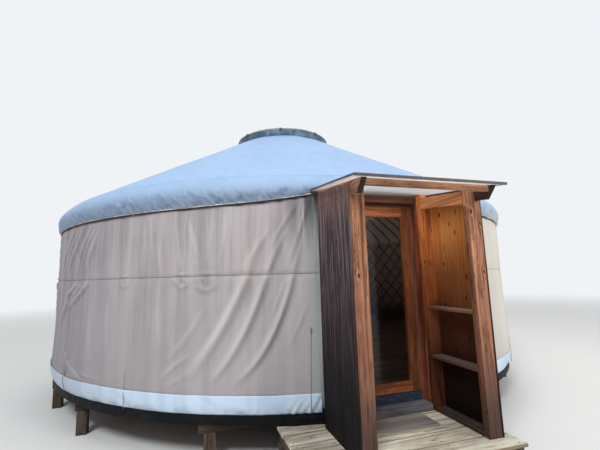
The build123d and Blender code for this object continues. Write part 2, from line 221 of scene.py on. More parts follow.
def mesh_piece(name, points, faces, material, smooth=False, numbers=None):
    """A mesh piece, with one float attribute of its points for each entry of numbers."""
    mesh = bpy.data.meshes.new(name)
    mesh.from_pydata([tuple(p) for p in points], [], [tuple(f) for f in faces])
    for key, values in (numbers or {}).items():
        mesh.attributes.new(key, "FLOAT", "POINT").data.foreach_set("value", np.asarray(values, np.float32))
    mesh.polygons.foreach_set("use_smooth", [smooth] * len(mesh.polygons))
    mesh.update()
    return settle(bpy.data.objects.new(name, mesh), material)


studio_radius = 70.0
backdrop_tone = tone(240, 243, 246)
studio = Paint("studio_floor")
across, outwards, height = studio.axes(studio.place())
far_off = ((across * across + outwards * outwards) ** 0.5).step(7.0, 26.0)
matt = studio.add("ShaderNodeBsdfDiffuse", {}, {"Color": tone(232, 232, 230)})
glow = studio.add("ShaderNodeEmission", {}, {"Color": backdrop_tone, "Strength": 1.0})
faded = studio.add("ShaderNodeMixShader", {}, {0: studio.seen_directly() * far_off, 1: matt, 2: glow})
studio.add("ShaderNodeOutputMaterial", {}, {"Surface": faded})
turns = np.linspace(0, 2 * math.pi, 65)[:-1]
rim = [(studio_radius * math.cos(a), studio_radius * math.sin(a), 0) for a in turns]
mesh_piece("studio_floor", rim, [range(64)], studio.material)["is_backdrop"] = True

world = bpy.data.worlds.new("studio")
bpy.context.scene.world = world
world.use_nodes = True
sky = Recipe(world.node_tree)
higher = sky.add("ShaderNodeSeparateXYZ", {}, {0: sky.add("ShaderNodeTexCoord", out="Generated")}, 2)
cloudy = [(0.0, tone(128, 132, 138)), (1.0, tone(252, 253, 255))]
overcast = sky.add("ShaderNodeValToRGB", {"stops": cloudy}, {0: higher})
daylight = sky.add("ShaderNodeBackground", {}, {"Color": overcast, "Strength": 0.67})
backdrop = sky.add("ShaderNodeBackground", {}, {"Color": backdrop_tone, "Strength": 1.0})
either = sky.add("ShaderNodeMixShader", {}, {0: sky.seen_directly(), 1: daylight, 2: backdrop})
sky.add("ShaderNodeOutputWorld", {}, {"Surface": either})

lamps = (
    # name, where it stands, what it aims at, width, power, tone
    ("lamp_right", (9.0, -13.0, 8.0), (0.5, -3.0, 1.4), 7.0, 940, (1.0, 0.96, 0.91)),
    ("lamp_left", (-8.5, -13.5, 15.0), (-1.0, -3.0, 1.2), 5.0, 1940, (0.93, 0.97, 1.0)),
    ("lamp_behind", (2.0, 13.0, 9.0), (0.0, 0.0, 2.0), 9.0, 500, (1.0, 1.0, 1.0)),
    ("lamp_inside", (0.0, 0.0, 1.2), (0.0, 1.0, 4.0), 1.6, 40, (1.0, 0.97, 0.92)),
)
for lamp_name, stands, aims, width, power, lamp_tone in lamps:
    light = bpy.data.lights.new(lamp_name, "AREA")
    light.size = width
    light.energy = power
    light.color = lamp_tone
    lamp = bpy.data.objects.new(lamp_name, light)
    lamp.location = stands
    lamp.rotation_euler = (Vector(aims) - Vector(stands)).to_track_quat("-Z", "Y").to_euler()
    bpy.context.scene.collection.objects.link(lamp)


# Timber platform
# Sawn softwood, treated and weathered: square posts, bearers across them and joists above. Handling and rain
# have rounded the edges a little.
def timber(name, along, late, early, knots=0.8, checks=0.5, lines=60, rough=0.62, relief=0.0012, stains=(),
           dusty=None, end_tone=None, turn=None, gloss=0.25, scarred=0.1, mottled=0.45):
    """Sawn softwood: growth lines drawn out along one axis and round the knots, fine fibres and dark checks.

    stains are (height, height, colour, share) between which the wood turns to a colour: a stain, and on the back
    posts and shelves painted shade. dusty is the colour of what lies on its upper faces, and end_tone that of the
    faces that look along -Y, near black on the rafters as painted shade. scarred is the share of dark marks, and
    mottled that of blotches.
    """
    paint = Paint(name)
    place = turn(paint) if turn else paint.place()
    board = paint.attribute("board")
    shift = paint.add("ShaderNodeCombineXYZ", {}, {0: board * 13.1, 1: board * 7.7, 2: board * 9.3})
    axis = "XYZ".index(along)

    def drawn(across, lengthwise):
        return tuple(lengthwise if k == axis else across for k in range(3))

    slow = paint.noise(place, drawn(5, 0.5), 2, 0.45, shift)
    fibres = paint.noise(place, drawn(210, 2.6), 4, 0.7, shift)
    streaks = paint.noise(place, drawn(46, 0.9), 3, 0.6, shift)
    cells = paint.mapped(place, drawn(10, 5.5), shift)
    distance = paint.add("ShaderNodeTexVoronoi", {}, {"Vector": cells, "Scale": 1.0})
    swirl = (0.30 - distance).greater(0)
    rings = ((slow + swirl * 0.35) * lines).sine()
    growth = rings * 0.05 + fibres * 0.5 + streaks * 0.5
    colour = paint.ramp(growth, [(0.36, late), (0.64, early)])
    patches = paint.noise(place, drawn(5, 0.9), 4, 0.6, shift)
    colour = paint.shade(patches.step(0.38, 0.64) * 0.7, colour, (0.50, 0.42, 0.38, 1))
    blotches = paint.noise(place, drawn(26, 5), 4, 0.65, shift)
    colour = paint.shade(blotches.step(0.52, 0.64) * mottled, colour, (0.50, 0.42, 0.40, 1))
    colour = paint.shade((board * 7.31).sine() * 0.25 + 0.25, colour, (0.72, 0.68, 0.66, 1))
    high = paint.axes(paint.place())[2]
    if dusty:
        colour = paint.mix(paint.facing()[2].step(0.5, 0.9) * fibres.step(0.35, 0.6) * 0.7, colour, dusty)
    for low, top, stain, share in stains:
        stain_and_shade = (high + (patches - 0.5) * 0.5).step(low, top)
        colour = paint.mix(stain_and_shade * (growth.step(0.25, 0.6) * 0.5 + 0.5) * share, colour, stain)
    knot = 1 - distance.step(0.085, 0.15)
    colour = paint.shade(knot * knots, colour, (0.20, 0.10, 0.07, 1))
    crack = 1 - abs(paint.noise(place, drawn(38, 0.7), 2, 0.5, shift) - 0.5).step(0.003, 0.012)
    crack = crack * patches.step(0.44, 0.56) * checks
    colour = paint.shade(crack, colour, (0.25, 0.20, 0.18, 1))
    scars = paint.noise(place, drawn(70, 9), 3, 0.6, shift).step(0.62, 0.70)
    colour = paint.shade(scars * scarred, colour, (0.22, 0.17, 0.16, 1))
    if end_tone:
        colour = paint.mix((0 - paint.facing()[1]).step(0.2, 0.5) * 0.95, colour, end_tone)
    return paint.surface(colour, rough + (0.5 - fibres) * 0.2, growth - knot * 0.3 - crack * 1.5, relief,
                         Specular_IOR_Level=gloss)


def soften(node_name, width, material):
    """Gives a construction node its finish, and takes the sharpness off its edges."""
    node = nodes[node_name]
    weld = node.modifiers.new("weld", "WELD")
    weld.merge_threshold = 0.00005
    bevel = node.modifiers.new("edges", "BEVEL")
    bevel.width = width
    bevel.segments = 2
    bevel.limit_method = "ANGLE"
    bevel.angle_limit = math.radians(35)
    settle(node, material)


post_wood = timber("platform_post", "Z", tone(53, 44, 37), tone(109, 96, 79), checks=0.9)
bearer_wood = timber("platform_bearer", "X", tone(55, 40, 30), tone(107, 83, 64))
joist_wood = timber("platform_joist", "Y", tone(64, 51, 38), tone(122, 103, 79))
for part in ("platform_posts", "platform_centre_post", "deck_legs"):
    soften(part, 0.004, post_wood)
soften("platform_bearers", 0.003, bearer_wood)
soften("platform_joists", 0.002, joist_wood)
soften("deck_joists", 0.002, joist_wood)


# Floor
# Planed pine boards laid across the joists, oiled, cut round to the platform's edge and square behind the
# door frame.
def plank(low, high, along, number, chamfer=0.002, ends=None):
    """A board with chamfered long edges. ends gives the places of its two ends at a point of its section."""
    axis = "XYZ".index(along)
    i, j = [k for k in range(3) if k != axis]
    c = chamfer
    section = [(low[i] + c, low[j]), (high[i] - c, low[j]), (high[i], low[j] + c), (high[i], high[j] - c),
               (high[i] - c, high[j]), (low[i] + c, high[j]), (low[i], high[j] - c), (low[i], low[j] + c)]
    points = []
    for end in (0, 1):
        for u, v in section:
            point = [0.0, 0.0, 0.0]
            point[i], point[j] = u, v
            point[axis] = ends(point)[end] if ends else (low, high)[end][axis]
            points.append(tuple(point))
    faces = [(m, (m + 1) % 8, 8 + (m + 1) % 8, 8 + m) for m in range(8)] + [range(7, -1, -1), range(8, 16)]
    if along == "Y":
        faces = [tuple(reversed(face)) for face in faces]
    return points, faces, [number] * len(points)


def boards_piece(name, planks, material, smooth=False):
    """One piece from many boards or bars, each with its own number for the grain."""
    points, faces, numbers = [], [], []
    for plank_points, plank_faces, plank_numbers in planks:
        start = len(points)
        points += plank_points
        faces += [tuple(start + k for k in face) for face in plank_faces]
        numbers += plank_numbers
    return mesh_piece(name, points, faces, material, smooth, {"board": numbers})


chance = np.random.default_rng(11)
floor_low, floor_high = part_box("floor_deck")
floor_level = floor_high.z
floor_radius = floor_high.y
floor_board = 0.118
floor_gap = 0.0008
frame_back = 3.4097
frame_side = 0.5303
planks = []
for row in range(-2, 60):
    start = max(row * floor_board - frame_back, -floor_radius)
    end = min((row + 1) * floor_board - floor_gap - frame_back, floor_radius)
    chord = floor_radius ** 2 - max(abs(start), abs(end)) ** 2
    if chord > 0.04 and end > start:
        reach = math.sqrt(chord)
        for from_x, to_x in [(-reach, reach)] if row >= 0 else [(-reach, -frame_side), (frame_side, reach)]:
            planks.append(plank((from_x, start, floor_low.z), (to_x, end, floor_level), "X", chance.random()))
floor_wood = timber("floor_boards", "X", tone(108, 84, 68), tone(162, 136, 114), knots=0.5, checks=0, rough=0.42,
                    relief=0.0003)
floor = boards_piece("floor_boards", planks, floor_wood)
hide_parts("floor_deck")
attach(floor, "root")

# Skirt of the platform
# A strip of black rubber sheet round the joists' ends, hidden at the top by the hem of the wall cloth.
rubber = Paint("skirt_rubber")
place = rubber.place()
dust = rubber.noise(place, (3, 3, 6), 5)
sag = rubber.noise(place, (5, 5, 0.9), 3)
colour = rubber.mix(dust.step(0.5, 0.75) * 0.5, tone(12, 13, 16), tone(40, 39, 38))
settle(nodes["platform_skirt"], rubber.surface(colour, 0.6, sag + dust * 0.1, 0.03, Specular_IOR_Level=0.12))

# Deck
# Five wide softwood boards laid across joists in front of the door, walked grey and pale.
# Each but the one against the threshold is fixed by two screws at every joist.
deck_low, deck_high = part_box("porch_deck")
deck_seams = (-3.64, -3.83, -4.01, -4.20)
deck_gap = 0.008
deck_ends = ((0.0, 0.004), (0.006, 0.0), (0.002, 0.007), (0.009, 0.002), (0.0, 0.0))
deck_edges = [deck_high.y, *deck_seams, deck_low.y - deck_gap]
deck_rows = list(zip(deck_edges, deck_edges[1:]))
planks = []
for row, (far, near) in enumerate(deck_rows):
    short_left, short_right = deck_ends[row]
    planks.append(plank((deck_low.x + short_left, near + deck_gap, deck_low.z),
                        (deck_high.x - short_right, far, deck_high.z), "X", 0.15 + 0.17 * row, 0.004))
deck_wood = timber("deck_boards", "X", tone(187, 176, 154), tone(255, 255, 238), knots=0.6, checks=0.9, lines=44,
                   rough=0.8, relief=0.002, end_tone=tone(131, 118, 96))
deck = boards_piece("deck_boards", planks, deck_wood)
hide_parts("porch_deck")
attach(deck, "root")
threshold_wood = timber("threshold", "X", tone(94, 94, 96), tone(154, 154, 159), knots=0.2, rough=0.7)
soften("door_threshold", 0.006, threshold_wood)


class Rule(Recipe):
    """A Geometry Nodes tree with named inputs, which works on the points and edges of a piece."""

    def __init__(self, name, inputs):
        super().__init__(bpy.data.node_groups.new(name, "GeometryNodeTree"))
        self.name = name
        self.inputs = inputs
        self.keys = {}
        face = self.tree.interface
        face.new_socket("Geometry", in_out="INPUT", socket_type="NodeSocketGeometry")
        face.new_socket("Geometry", in_out="OUTPUT", socket_type="NodeSocketGeometry")
        for key, value in inputs.items():
            kind = {int: "NodeSocketInt", float: "NodeSocketFloat"}.get(type(value), "NodeSocketMaterial")
            self.keys[key] = face.new_socket(key, in_out="INPUT", socket_type=kind).identifier
        entry = self.tree.nodes.new("NodeGroupInput")
        self.ports = {socket.name: Value(self, socket) for socket in entry.outputs if socket.name}

    def made(self, geometry, points, runs=()):
        """The piece that the rule makes of points, and of the edges that join them."""
        real = self.add("GeometryNodeRealizeInstances", {}, {0: geometry})
        dressed = self.add("GeometryNodeSetMaterial", {}, {0: real, "Material": self.ports["Material"]})
        self.add("NodeGroupOutput", {}, {0: dressed})
        start = bpy.data.meshes.new(self.name)
        start.from_pydata([tuple(p) for p in points], [tuple(e) for e in runs], [])
        piece = bpy.data.objects.new(self.name, start)
        bpy.context.scene.collection.objects.link(piece)
        modifier = piece.modifiers.new("rule", "NODES")
        modifier.node_group = self.tree
        for key, value in self.inputs.items():
            modifier[self.keys[key]] = value
        bpy.context.view_layer.update()
        finished = bpy.data.meshes.new_from_object(piece.evaluated_get(bpy.context.evaluated_depsgraph_get()))
        piece.modifiers.remove(modifier)
        piece.data = finished
        bpy.data.meshes.remove(start)
        finished.name = self.name
        return piece


steel = Paint("steel")
scratches = steel.noise(steel.place(), (60, 60, 60), 4)
steel_metal = steel.surface(steel.mix(scratches, tone(150, 150, 148), tone(191, 191, 189)), 0.36, scratches, 0.0003,
                            Metallic=1.0)
rusty = Paint("screws")
patches = rusty.noise(rusty.place(), (40, 40, 40), 3)
screw_metal = rusty.surface(rusty.mix(patches.step(0.45, 0.6), tone(77, 72, 68), tone(105, 77, 59)), 0.55,
                            Metallic=0.6)


def fixings(name, places, facing, radius, depth, material):
    """Low round heads at points, turned by Euler angles to face out of the wood."""
    rule = Rule(name, {"Material": material, "Radius": radius, "Depth": depth})
    head = rule.add("GeometryNodeMeshCylinder", {}, {
        "Vertices": 8, "Radius": rule.ports["Radius"], "Depth": rule.ports["Depth"]})
    heads = rule.add("GeometryNodeInstanceOnPoints", {}, {
        "Points": rule.ports["Geometry"], "Instance": head, "Rotation": facing})
    piece = rule.made(heads, places)
    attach(piece, "root")
    return piece


joist_lines = np.linspace(deck_low.x + 0.0435, deck_high.x - 0.0435, 4)
deck_screws = [(x + side * 0.004, y, deck_high.z + 0.0005) for x in joist_lines for far, near in deck_rows[1:]
               for y, side in ((far - 0.030, 1), (near + 0.040, -1))]
fixings("deck_screws", deck_screws, (0, 0, 0), 0.0055, 0.003, screw_metal)

# Board in front of the threshold
# A thin wide plank, worn smooth and grey by feet, that lies loose on the deck.
step_wood = timber("step_board", "X", tone(126, 122, 120), tone(180, 174, 168), knots=0, checks=0.2, lines=20,
                   rough=0.7, relief=0.0005)
step_board = boards_piece("step_board", [plank(
    (-0.468, -3.905, deck_high.z), (0.310, -3.635, deck_high.z + 0.012), "X", 0.8, 0.004)], step_wood)
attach(step_board, "root")

# Lattice wall
# Split laths in two layers, one leaning each way, tied where they cross and bent to the round wall. It opens
# between the jambs.
wall_radius = 3.600
wall_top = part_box("wall_canvas_1")[1].z
lattice_face = 3.552
lath_width = 0.034
lath_thickness = 0.009
lattice_bottom = floor_level + 0.010
lattice_top = wall_top - 0.012
door_half_angle = math.degrees(math.asin(0.5345 / lattice_face))
diamonds_round = 69
diamonds_high = 5.5
lath_step = (360 - 2 * door_half_angle) / diamonds_round
lath_reach = lath_step * diamonds_high


def around(degrees, radius, height):
    """Points at directions, in degrees from the door towards its left, radii and heights."""
    turned = np.radians(degrees)
    return np.stack(np.broadcast_arrays(-radius * np.sin(turned), -radius * np.cos(turned), height), -1)


def strip_along(route, outward, width, thickness):
    """A flat bar along a route, with its thickness pointing outward."""
    across = np.cross(outward, np.gradient(route, axis=0))
    across /= np.linalg.norm(across, axis=1)[:, None]
    corners = [route + across * a * width / 2 + outward * b * thickness / 2 for a, b in
               ((-1, -1), (1, -1), (1, 1), (-1, 1))]
    last = 4 * (len(route) - 1)
    faces = [(k + j, k + (j + 1) % 4, k + 4 + (j + 1) % 4, k + 4 + j) for k in range(0, last, 4) for j in range(4)]
    faces += [(3, 2, 1, 0), tuple(last + j for j in range(4))]
    return [tuple(p) for p in np.stack(corners, 1).reshape(-1, 3)], faces, [chance.random()] * (last + 4)


planks = []
for layer, lean in enumerate((1, -1)):
    for k in range(-8, diamonds_round + 9):
        first = door_half_angle + k * lath_step
        ends = [(limit - first) / (lean * lath_reach) for limit in (door_half_angle + 0.3, 359.7 - door_half_angle)]
        shares = np.linspace(max(0.0, min(ends)), min(1.0, max(ends)), 11)
        if shares[-1] - shares[0] > 0.02:
            angles = first + lean * lath_reach * shares
            route = around(angles, lattice_face - lath_thickness * (0.5 + layer),
                           lattice_bottom + (lattice_top - lattice_bottom) * shares)
            planks.append(strip_along(route, around(angles, 1.0, 0.0), lath_width, lath_thickness))
lattice_wood = timber("lattice_laths", "Z", tone(81, 53, 38), tone(133, 94, 64), knots=0.3, checks=0, lines=30,
                      rough=0.5, relief=0.0005)
laths = boards_piece("lattice_laths", planks, lattice_wood)
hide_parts("lattice_1", "lattice_2", "lattice_3", "lattice_4")
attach(laths, "root")
rows = int(2 * diamonds_high)
crossings = []
for row in range(1, rows):
    columns = np.arange(1, diamonds_round) + (row % 2) / 2
    height = lattice_bottom + (lattice_top - lattice_bottom) * row / rows
    crossings += around(door_half_angle + columns * lath_step, lattice_face - 2 * lath_thickness, height).tolist()
rule = Rule("lattice_ties", {"Material": lattice_wood, "Radius": 0.007})
knot = rule.add("GeometryNodeMeshIcoSphere", {}, {"Radius": rule.ports["Radius"], "Subdivisions": 1})
ties = rule.made(rule.add("GeometryNodeInstanceOnPoints", {}, {
    "Points": rule.ports["Geometry"], "Instance": knot}), crossings)
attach(ties, "root")


# Lining
# Grey-brown felt between the lattice and the outer cloth, seen from inside through the diamonds.
def turned_sheet(name, points, material, closed=False, numbers=None):
    """Mesh piece from a grid of points, columns of them round the yurt and each column upwards."""
    columns, rows = points.shape[:2]
    index = np.arange(columns * rows).reshape(columns, rows)
    if closed:
        index = np.vstack([index, index[:1]])
    faces = np.stack([index[:-1, :-1], index[:-1, 1:], index[1:, 1:], index[1:, :-1]], -1).reshape(-1, 4)
    return mesh_piece(name, points.reshape(-1, 3), faces.tolist(), material, smooth=True, numbers=numbers)


def thicken(piece, thickness):
    """Gives a sheet its thickness, inwards from the side that shows."""
    solid = piece.modifiers.new("thickness", "SOLIDIFY")
    solid.thickness = thickness
    solid.offset = -1


felt = Paint("felt")
place = felt.place()
clumps = felt.noise(place, (60, 60, 60), 5, 0.7)
stains = felt.noise(place, (1.4, 1.4, 1.4), 4)
colour = felt.mix(stains.step(0.4, 0.65), tone(160, 148, 150), tone(142, 130, 130))
# The felt is darker below 1.9 m: painted shade, as if the inside were lit only from the crown.
colour = felt.shade((1 - felt.axes(place)[2].step(1.9, 2.5)) * 0.9, colour, (0.58, 0.50, 0.55, 1))
felt_material = felt.surface(felt.shade(clumps.step(0.4, 0.7), colour, (0.8, 0.78, 0.76, 1)), 0.95, clumps, 0.003)
degrees = np.linspace(door_half_angle, 360 - door_half_angle, 181)[:, None]
lining = turned_sheet("wall_lining", around(degrees, 3.559, np.linspace(floor_level + 0.002, wall_top - 0.002, 5)),
                      felt_material)
thicken(lining, 0.005)
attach(lining, "root")

# Wall cloth
# Taupe proofed canvas in three widths, hung from the eave and pulled in by a rope at mid height. It hangs in
# fine upright wrinkles above the rope, and in long slanting folds where it is hauled towards the door.
cloth_top = wall_top - 0.004
cloth_bottom = floor_level + 0.004
girth_height = 1.612
bulge_top = 0.574
bulge = 0.024
wall_folds = (
    # start, middle and end as degrees from the door and height, then width and rise of the fold
    ((17.6, 1.980), (22.2, 1.228), (28.8, 0.660), 0.080, 0.034),
    ((26.2, 1.334), (28.7, 1.070), (32.4, 0.830), 0.050, 0.010),
    ((15.0, 2.000), (19.6, 1.152), (25.4, 0.640), 0.068, 0.032),
    ((12.0, 1.900), (16.1, 1.074), (22.2, 0.630), 0.060, 0.032),
    ((14.3, 1.555), (15.3, 1.408), (16.5, 1.205), 0.034, 0.010),
    ((11.2, 1.360), (12.6, 1.150), (14.2, 0.960), 0.034, 0.008),
    ((28.4, 0.900), (31.0, 0.791), (33.3, 0.665), 0.034, 0.013),
    ((28.1, 0.767), (30.7, 0.670), (32.8, 0.605), 0.028, 0.009),
    ((20.4, 1.560), (24.6, 1.060), (28.6, 0.800), 0.040, 0.007),
    ((16.5, 2.061), (18.4, 1.844), (21.1, 1.616), 0.040, 0.010),
    ((14.3, 2.007), (15.5, 1.822), (17.1, 1.592), 0.040, 0.011),
    ((10.9, 2.316), (11.9, 2.055), (14.2, 1.653), 0.035, 0.015),
    ((12.3, 2.281), (14.3, 2.092), (17.3, 1.775), 0.035, 0.012),
    ((34.2, 2.235), (34.0, 1.883), (33.4, 1.62), 0.030, 0.010),
    ((36.0, 2.232), (35.4, 1.940), (34.9, 1.64), 0.024, 0.008),
    ((37.6, 2.222), (36.8, 1.945), (36.7, 1.714), 0.022, 0.007),
    ((29.4, 2.237), (28.1, 1.952), (27.5, 1.796), 0.035, 0.010),
    ((31.3, 2.227), (30.7, 1.925), (30.1, 1.666), 0.028, 0.008),
    ((25.0, 2.291), (25.3, 1.995), (26.1, 1.742), 0.032, 0.008),
    ((23.0, 2.284), (23.3, 1.990), (24.6, 1.655), 0.030, 0.008),
    ((50.0, 2.220), (53.2, 1.930), (55.6, 1.640), 0.036, 0.024),
    ((53.0, 2.215), (57.0, 1.926), (60.6, 1.650), 0.036, 0.027),
    ((55.0, 2.215), (59.0, 1.940), (63.0, 1.665), 0.032, 0.022),
    ((57.0, 2.213), (61.0, 1.960), (65.5, 1.680), 0.038, 0.027),
    ((47.5, 2.200), (50.0, 1.940), (52.0, 1.700), 0.036, 0.020),
    ((48.8, 2.190), (51.4, 1.985), (53.6, 1.760), 0.030, 0.018),
    ((50.3, 1.590), (53.9, 1.434), (59.7, 1.243), 0.036, 0.027),
    ((52.6, 1.585), (55.6, 1.452), (60.5, 1.290), 0.030, 0.020),
    ((54.6, 1.574), (57.3, 1.473), (61.3, 1.343), 0.034, 0.026),
    ((57.0, 1.50), (60.5, 1.280), (64.0, 1.000), 0.040, 0.028),
    ((61.5, 0.926), (56.1, 0.745), (50.5, 0.602), 0.038, -0.022),
    ((59.6, 0.777), (54.4, 0.682), (48.0, 0.604), 0.034, -0.018),
    ((56.7, 0.644), (50.3, 0.658), (44.7, 0.644), 0.018, 0.009),
    ((33.9, 1.57), (33.7, 1.232), (33.2, 0.953), 0.045, 0.008),
    ((44.6, 1.437), (44.4, 1.150), (43.9, 0.871), 0.045, 0.007),
    ((49.1, 1.436), (49.0, 1.028), (48.0, 0.780), 0.045, 0.007),
)
puckers = ((41.1, 0.6), (30.4, 0.9), (26.4, 1.3), (52.5, 0.5), (71.0, 0.9))
wall_ties = (57.9, 98.0, 140.0, 183.0, 226.0, 268.0, 305.0)
porch_edge = 9.96
behind_porch_face = 3.5625


def smooth_noise(along, height, pitch_along, pitch_height, seed):
    """Smooth random field from -1 to 1 over a plane, with cells of the given pitches."""
    source = np.random.default_rng(seed).random((256, 256)) * 2 - 1
    u, v = along / pitch_along, height / pitch_height
    low_u, low_v = np.floor(u), np.floor(v)
    share_u, share_v = u - low_u, v - low_v
    share_u = share_u * share_u * (3 - 2 * share_u)
    share_v = share_v * share_v * (3 - 2 * share_v)
    col, row = low_u.astype(int) % 255, low_v.astype(int) % 255
    top = source[col, row] * (1 - share_u) + source[col + 1, row] * share_u
    bottom = source[col, row + 1] * (1 - share_u) + source[col + 1, row + 1] * share_u
    return top * (1 - share_v) + bottom * share_v


def fold_height(degrees, height, folds):
    """Rise of cloth folds on a grid, painted shadow under their steep side, and wear with painted highlight on their
    ridges.
    """
    total, shadow, worn = (np.zeros(height.shape) for _ in range(3))
    along = np.radians(degrees) * wall_radius
    share = np.linspace(0, 1, 25)
    for *corners, width, rise in folds:
        first, middle, last = (np.array((math.radians(a) * wall_radius, z)) for a, z in corners)
        middle = 2 * middle - (first + last) / 2
        line = [(1 - share) ** 2 * a + 2 * share * (1 - share) * b + share ** 2 * c
                for a, b, c in zip(first, middle, last)]
        near = (along.max(1) > line[0].min() - 4 * width) & (along.min(1) < line[0].max() + 4 * width)
        columns = np.nonzero(near)[0]
        if len(columns):
            du = along[columns][..., None] - line[0]
            dz = height[columns][..., None] - line[1]
            best = (du ** 2 + dz ** 2).argmin(-1)
            du = np.take_along_axis(du, best[..., None], -1)[..., 0]
            dz = np.take_along_axis(dz, best[..., None], -1)[..., 0]
            slope_u, slope_z = np.gradient(line[0])[best], np.gradient(line[1])[best]
            step = np.hypot(slope_u, slope_z)
            offset = (slope_u * dz - slope_z * du) / step / width - 0.45
            reached = (best + (slope_u * du + slope_z * dz) / step ** 2) / 24
            fade = np.sin(np.pi * np.clip(reached, 0, 1)) ** 0.8
            steep = min(3.2, width / 0.019)
            ridge = np.exp(-np.abs(offset * np.where(offset > 0, 0.6, steep)) ** 1.4)
            foot = np.exp(-((offset * steep + 1.3) / 0.9) ** 2)
            total[columns] += rise * fade * (ridge - 0.35 * np.exp(-((offset + 0.7) / 0.7) ** 2))
            strength = min(abs(rise) / 0.020, 1.2)
            shadow[columns] += strength * fade * foot
            worn[columns] += strength * fade * np.exp(-((offset - 0.35) / 0.50) ** 2)
    return total, shadow, worn


def folds_again(shift, turn, keep, every):
    """Some of the folds beside the porch again further round, for the sides that lie turned away."""
    return [(*[(shift + turn * a, z) for a, z in corners], width, rise)
            for number, (*corners, width, rise) in enumerate(wall_folds)
            if number % every in keep and corners[2][0] < 36]


all_folds = [*wall_folds, *folds_again(360, -1, (0, 2, 3, 4), 5), *folds_again(64, 1, (1, 3), 4),
             *folds_again(116, 1, (0, 2), 3), *folds_again(244, -1, (0, 3), 4), *folds_again(292, -1, (1, 2), 3)]


def wall_shape(degrees, height):
    """Radius of the wall cloth's outer face on a grid of directions and heights."""
    along = np.radians(degrees) * wall_radius
    foot = np.clip((1.30 - height) / (1.30 - bulge_top), 0, 1)
    foot = foot * foot * (3 - 2 * foot)
    tuck = np.clip((bulge_top - height) / (bulge_top - cloth_bottom), 0, 1) ** 1.5
    base = wall_radius + bulge * foot - (bulge + 0.008) * tuck
    upper = 1 / (1 + np.exp(-(height - girth_height) / 0.05))
    under_eave = np.clip((height - girth_height) / (cloth_top - girth_height), 0, 1)
    upright = smooth_noise(along, height, 0.070, 1.1, 3) + 0.6 * smooth_noise(along, height, 0.036, 0.7, 4)
    shape = upright * (0.0011 + 0.0012 * upper + 0.0018 * under_eave)
    shape = shape + smooth_noise(along, height, 0.42, 0.8, 5) * 0.008
    shape = shape + smooth_noise(along + 0.5 * height, height, 0.16, 0.5, 8) * 0.0025
    shape = shape + fold_height(degrees, height, all_folds)[0]
    at_rope = height - girth_height
    shape = shape * (1 - 0.6 * np.exp(-(at_rope / 0.030) ** 2))
    shape = shape + 0.004 * (np.exp(-((at_rope - 0.26) / 0.2) ** 2) + np.exp(-((at_rope + 0.30) / 0.25) ** 2))
    shape = shape - 0.005 * np.exp(-(at_rope / 0.018) ** 2)
    shape = shape + smooth_noise(along, height, 0.055, 0.05, 6) * 0.004 * np.exp(-((at_rope + 0.02) / 0.035) ** 2)
    for place_round, size in puckers:
        du, dz = (along - math.radians(place_round) * wall_radius) / size, -at_rope / size ** 0.5
        sag = np.hypot(du / 0.075, (dz - 0.050) / 0.070) + smooth_noise(along, height, 0.05, 0.05, 7) * 0.25
        shape = shape + 0.018 * np.exp(-((sag - 0.8) / 0.30) ** 2) * np.clip(dz / 0.03, 0, 1)
        shape = shape + 0.018 * np.exp(-(du / 0.060) ** 2 - ((dz + 0.022) / 0.016) ** 2)
    for tie_at in wall_ties:
        du, dz = along - math.radians(tie_at) * wall_radius, height - 0.60
        reach = np.hypot(du, dz) + 1e-6
        spokes = np.cos(9 * np.arctan2(dz, du) + tie_at)
        shape = shape + spokes * 0.010 * np.exp(-reach / 0.17) * (1 - np.exp(-reach / 0.03))
        shape = shape - 0.016 * np.exp(-(reach / 0.045) ** 2)
    away = np.minimum(degrees, 360 - degrees)
    limit = behind_porch_face / np.cos(np.radians(away))
    return np.where(away < porch_edge, np.minimum(base + shape, limit), base + shape)


def hollows(radius, reach_round, reach_high, depth):
    """From 0 to 1, how deep each point of a grid lies below its neighbourhood."""
    soft = radius
    for axis, reach in ((0, reach_round), (1, reach_high)):
        weights = np.hanning(2 * reach + 3)[1:-1]
        weights = weights / weights.sum()
        soft = np.apply_along_axis(lambda line: np.convolve(np.pad(line, reach, "edge"), weights, "valid"), axis, soft)
    return np.clip((soft - radius) / depth, 0, 1)


def canvas_paint(name, ground, lit, grime_and_shade):
    """Proofed canvas: a fine weave, tones that vary in upright streaks, and creases darkened by painted shade."""
    paint = Paint(name)
    place = paint.place()
    streaks = paint.noise(place, (7, 7, 0.35), 5, 0.6)
    cloud = paint.noise(place, (1.3, 1.3, 1.3), 4)
    threads = paint.noise(place, (420, 420, 420), 2, 0.6)
    colour = paint.mix((streaks * 0.65 + cloud * 0.35).step(0.38, 0.62), ground, lit)
    crumple = abs(paint.noise(place, (6, 6, 3), 3, 0.5) - 0.5) * 5
    # The crease attribute darkens the creases: painted shade, with a little grime.
    return paint, paint.shade(paint.attribute("crease"), colour, grime_and_shade), streaks * 0.3 + threads * 0.25 + crumple


paint, colour, relief = canvas_paint("wall_canvas", tone(154, 149, 151), tone(185, 175, 176), (0.42, 0.40, 0.41, 1))
place = paint.place()
across, outwards, high = paint.axes(place)
colour = paint.mix((1 - high.step(0.9, 1.7)) * 0.45, colour, tone(169, 162, 164))
rusts = paint.noise(place, (14, 14, 0.25), 3, 0.7)
bleach = paint.noise(place, (11, 11, 0.4), 3, 0.6, (5, 3, 1))
colour = paint.mix(rusts.step(0.54, 0.70) * (high.step(0.8, 2.2) * 0.4 + 0.15), colour, tone(197, 178, 150))
colour = paint.mix(bleach.step(0.55, 0.72) * high.step(0.9, 2.2) * 0.5, colour, tone(191, 197, 202))
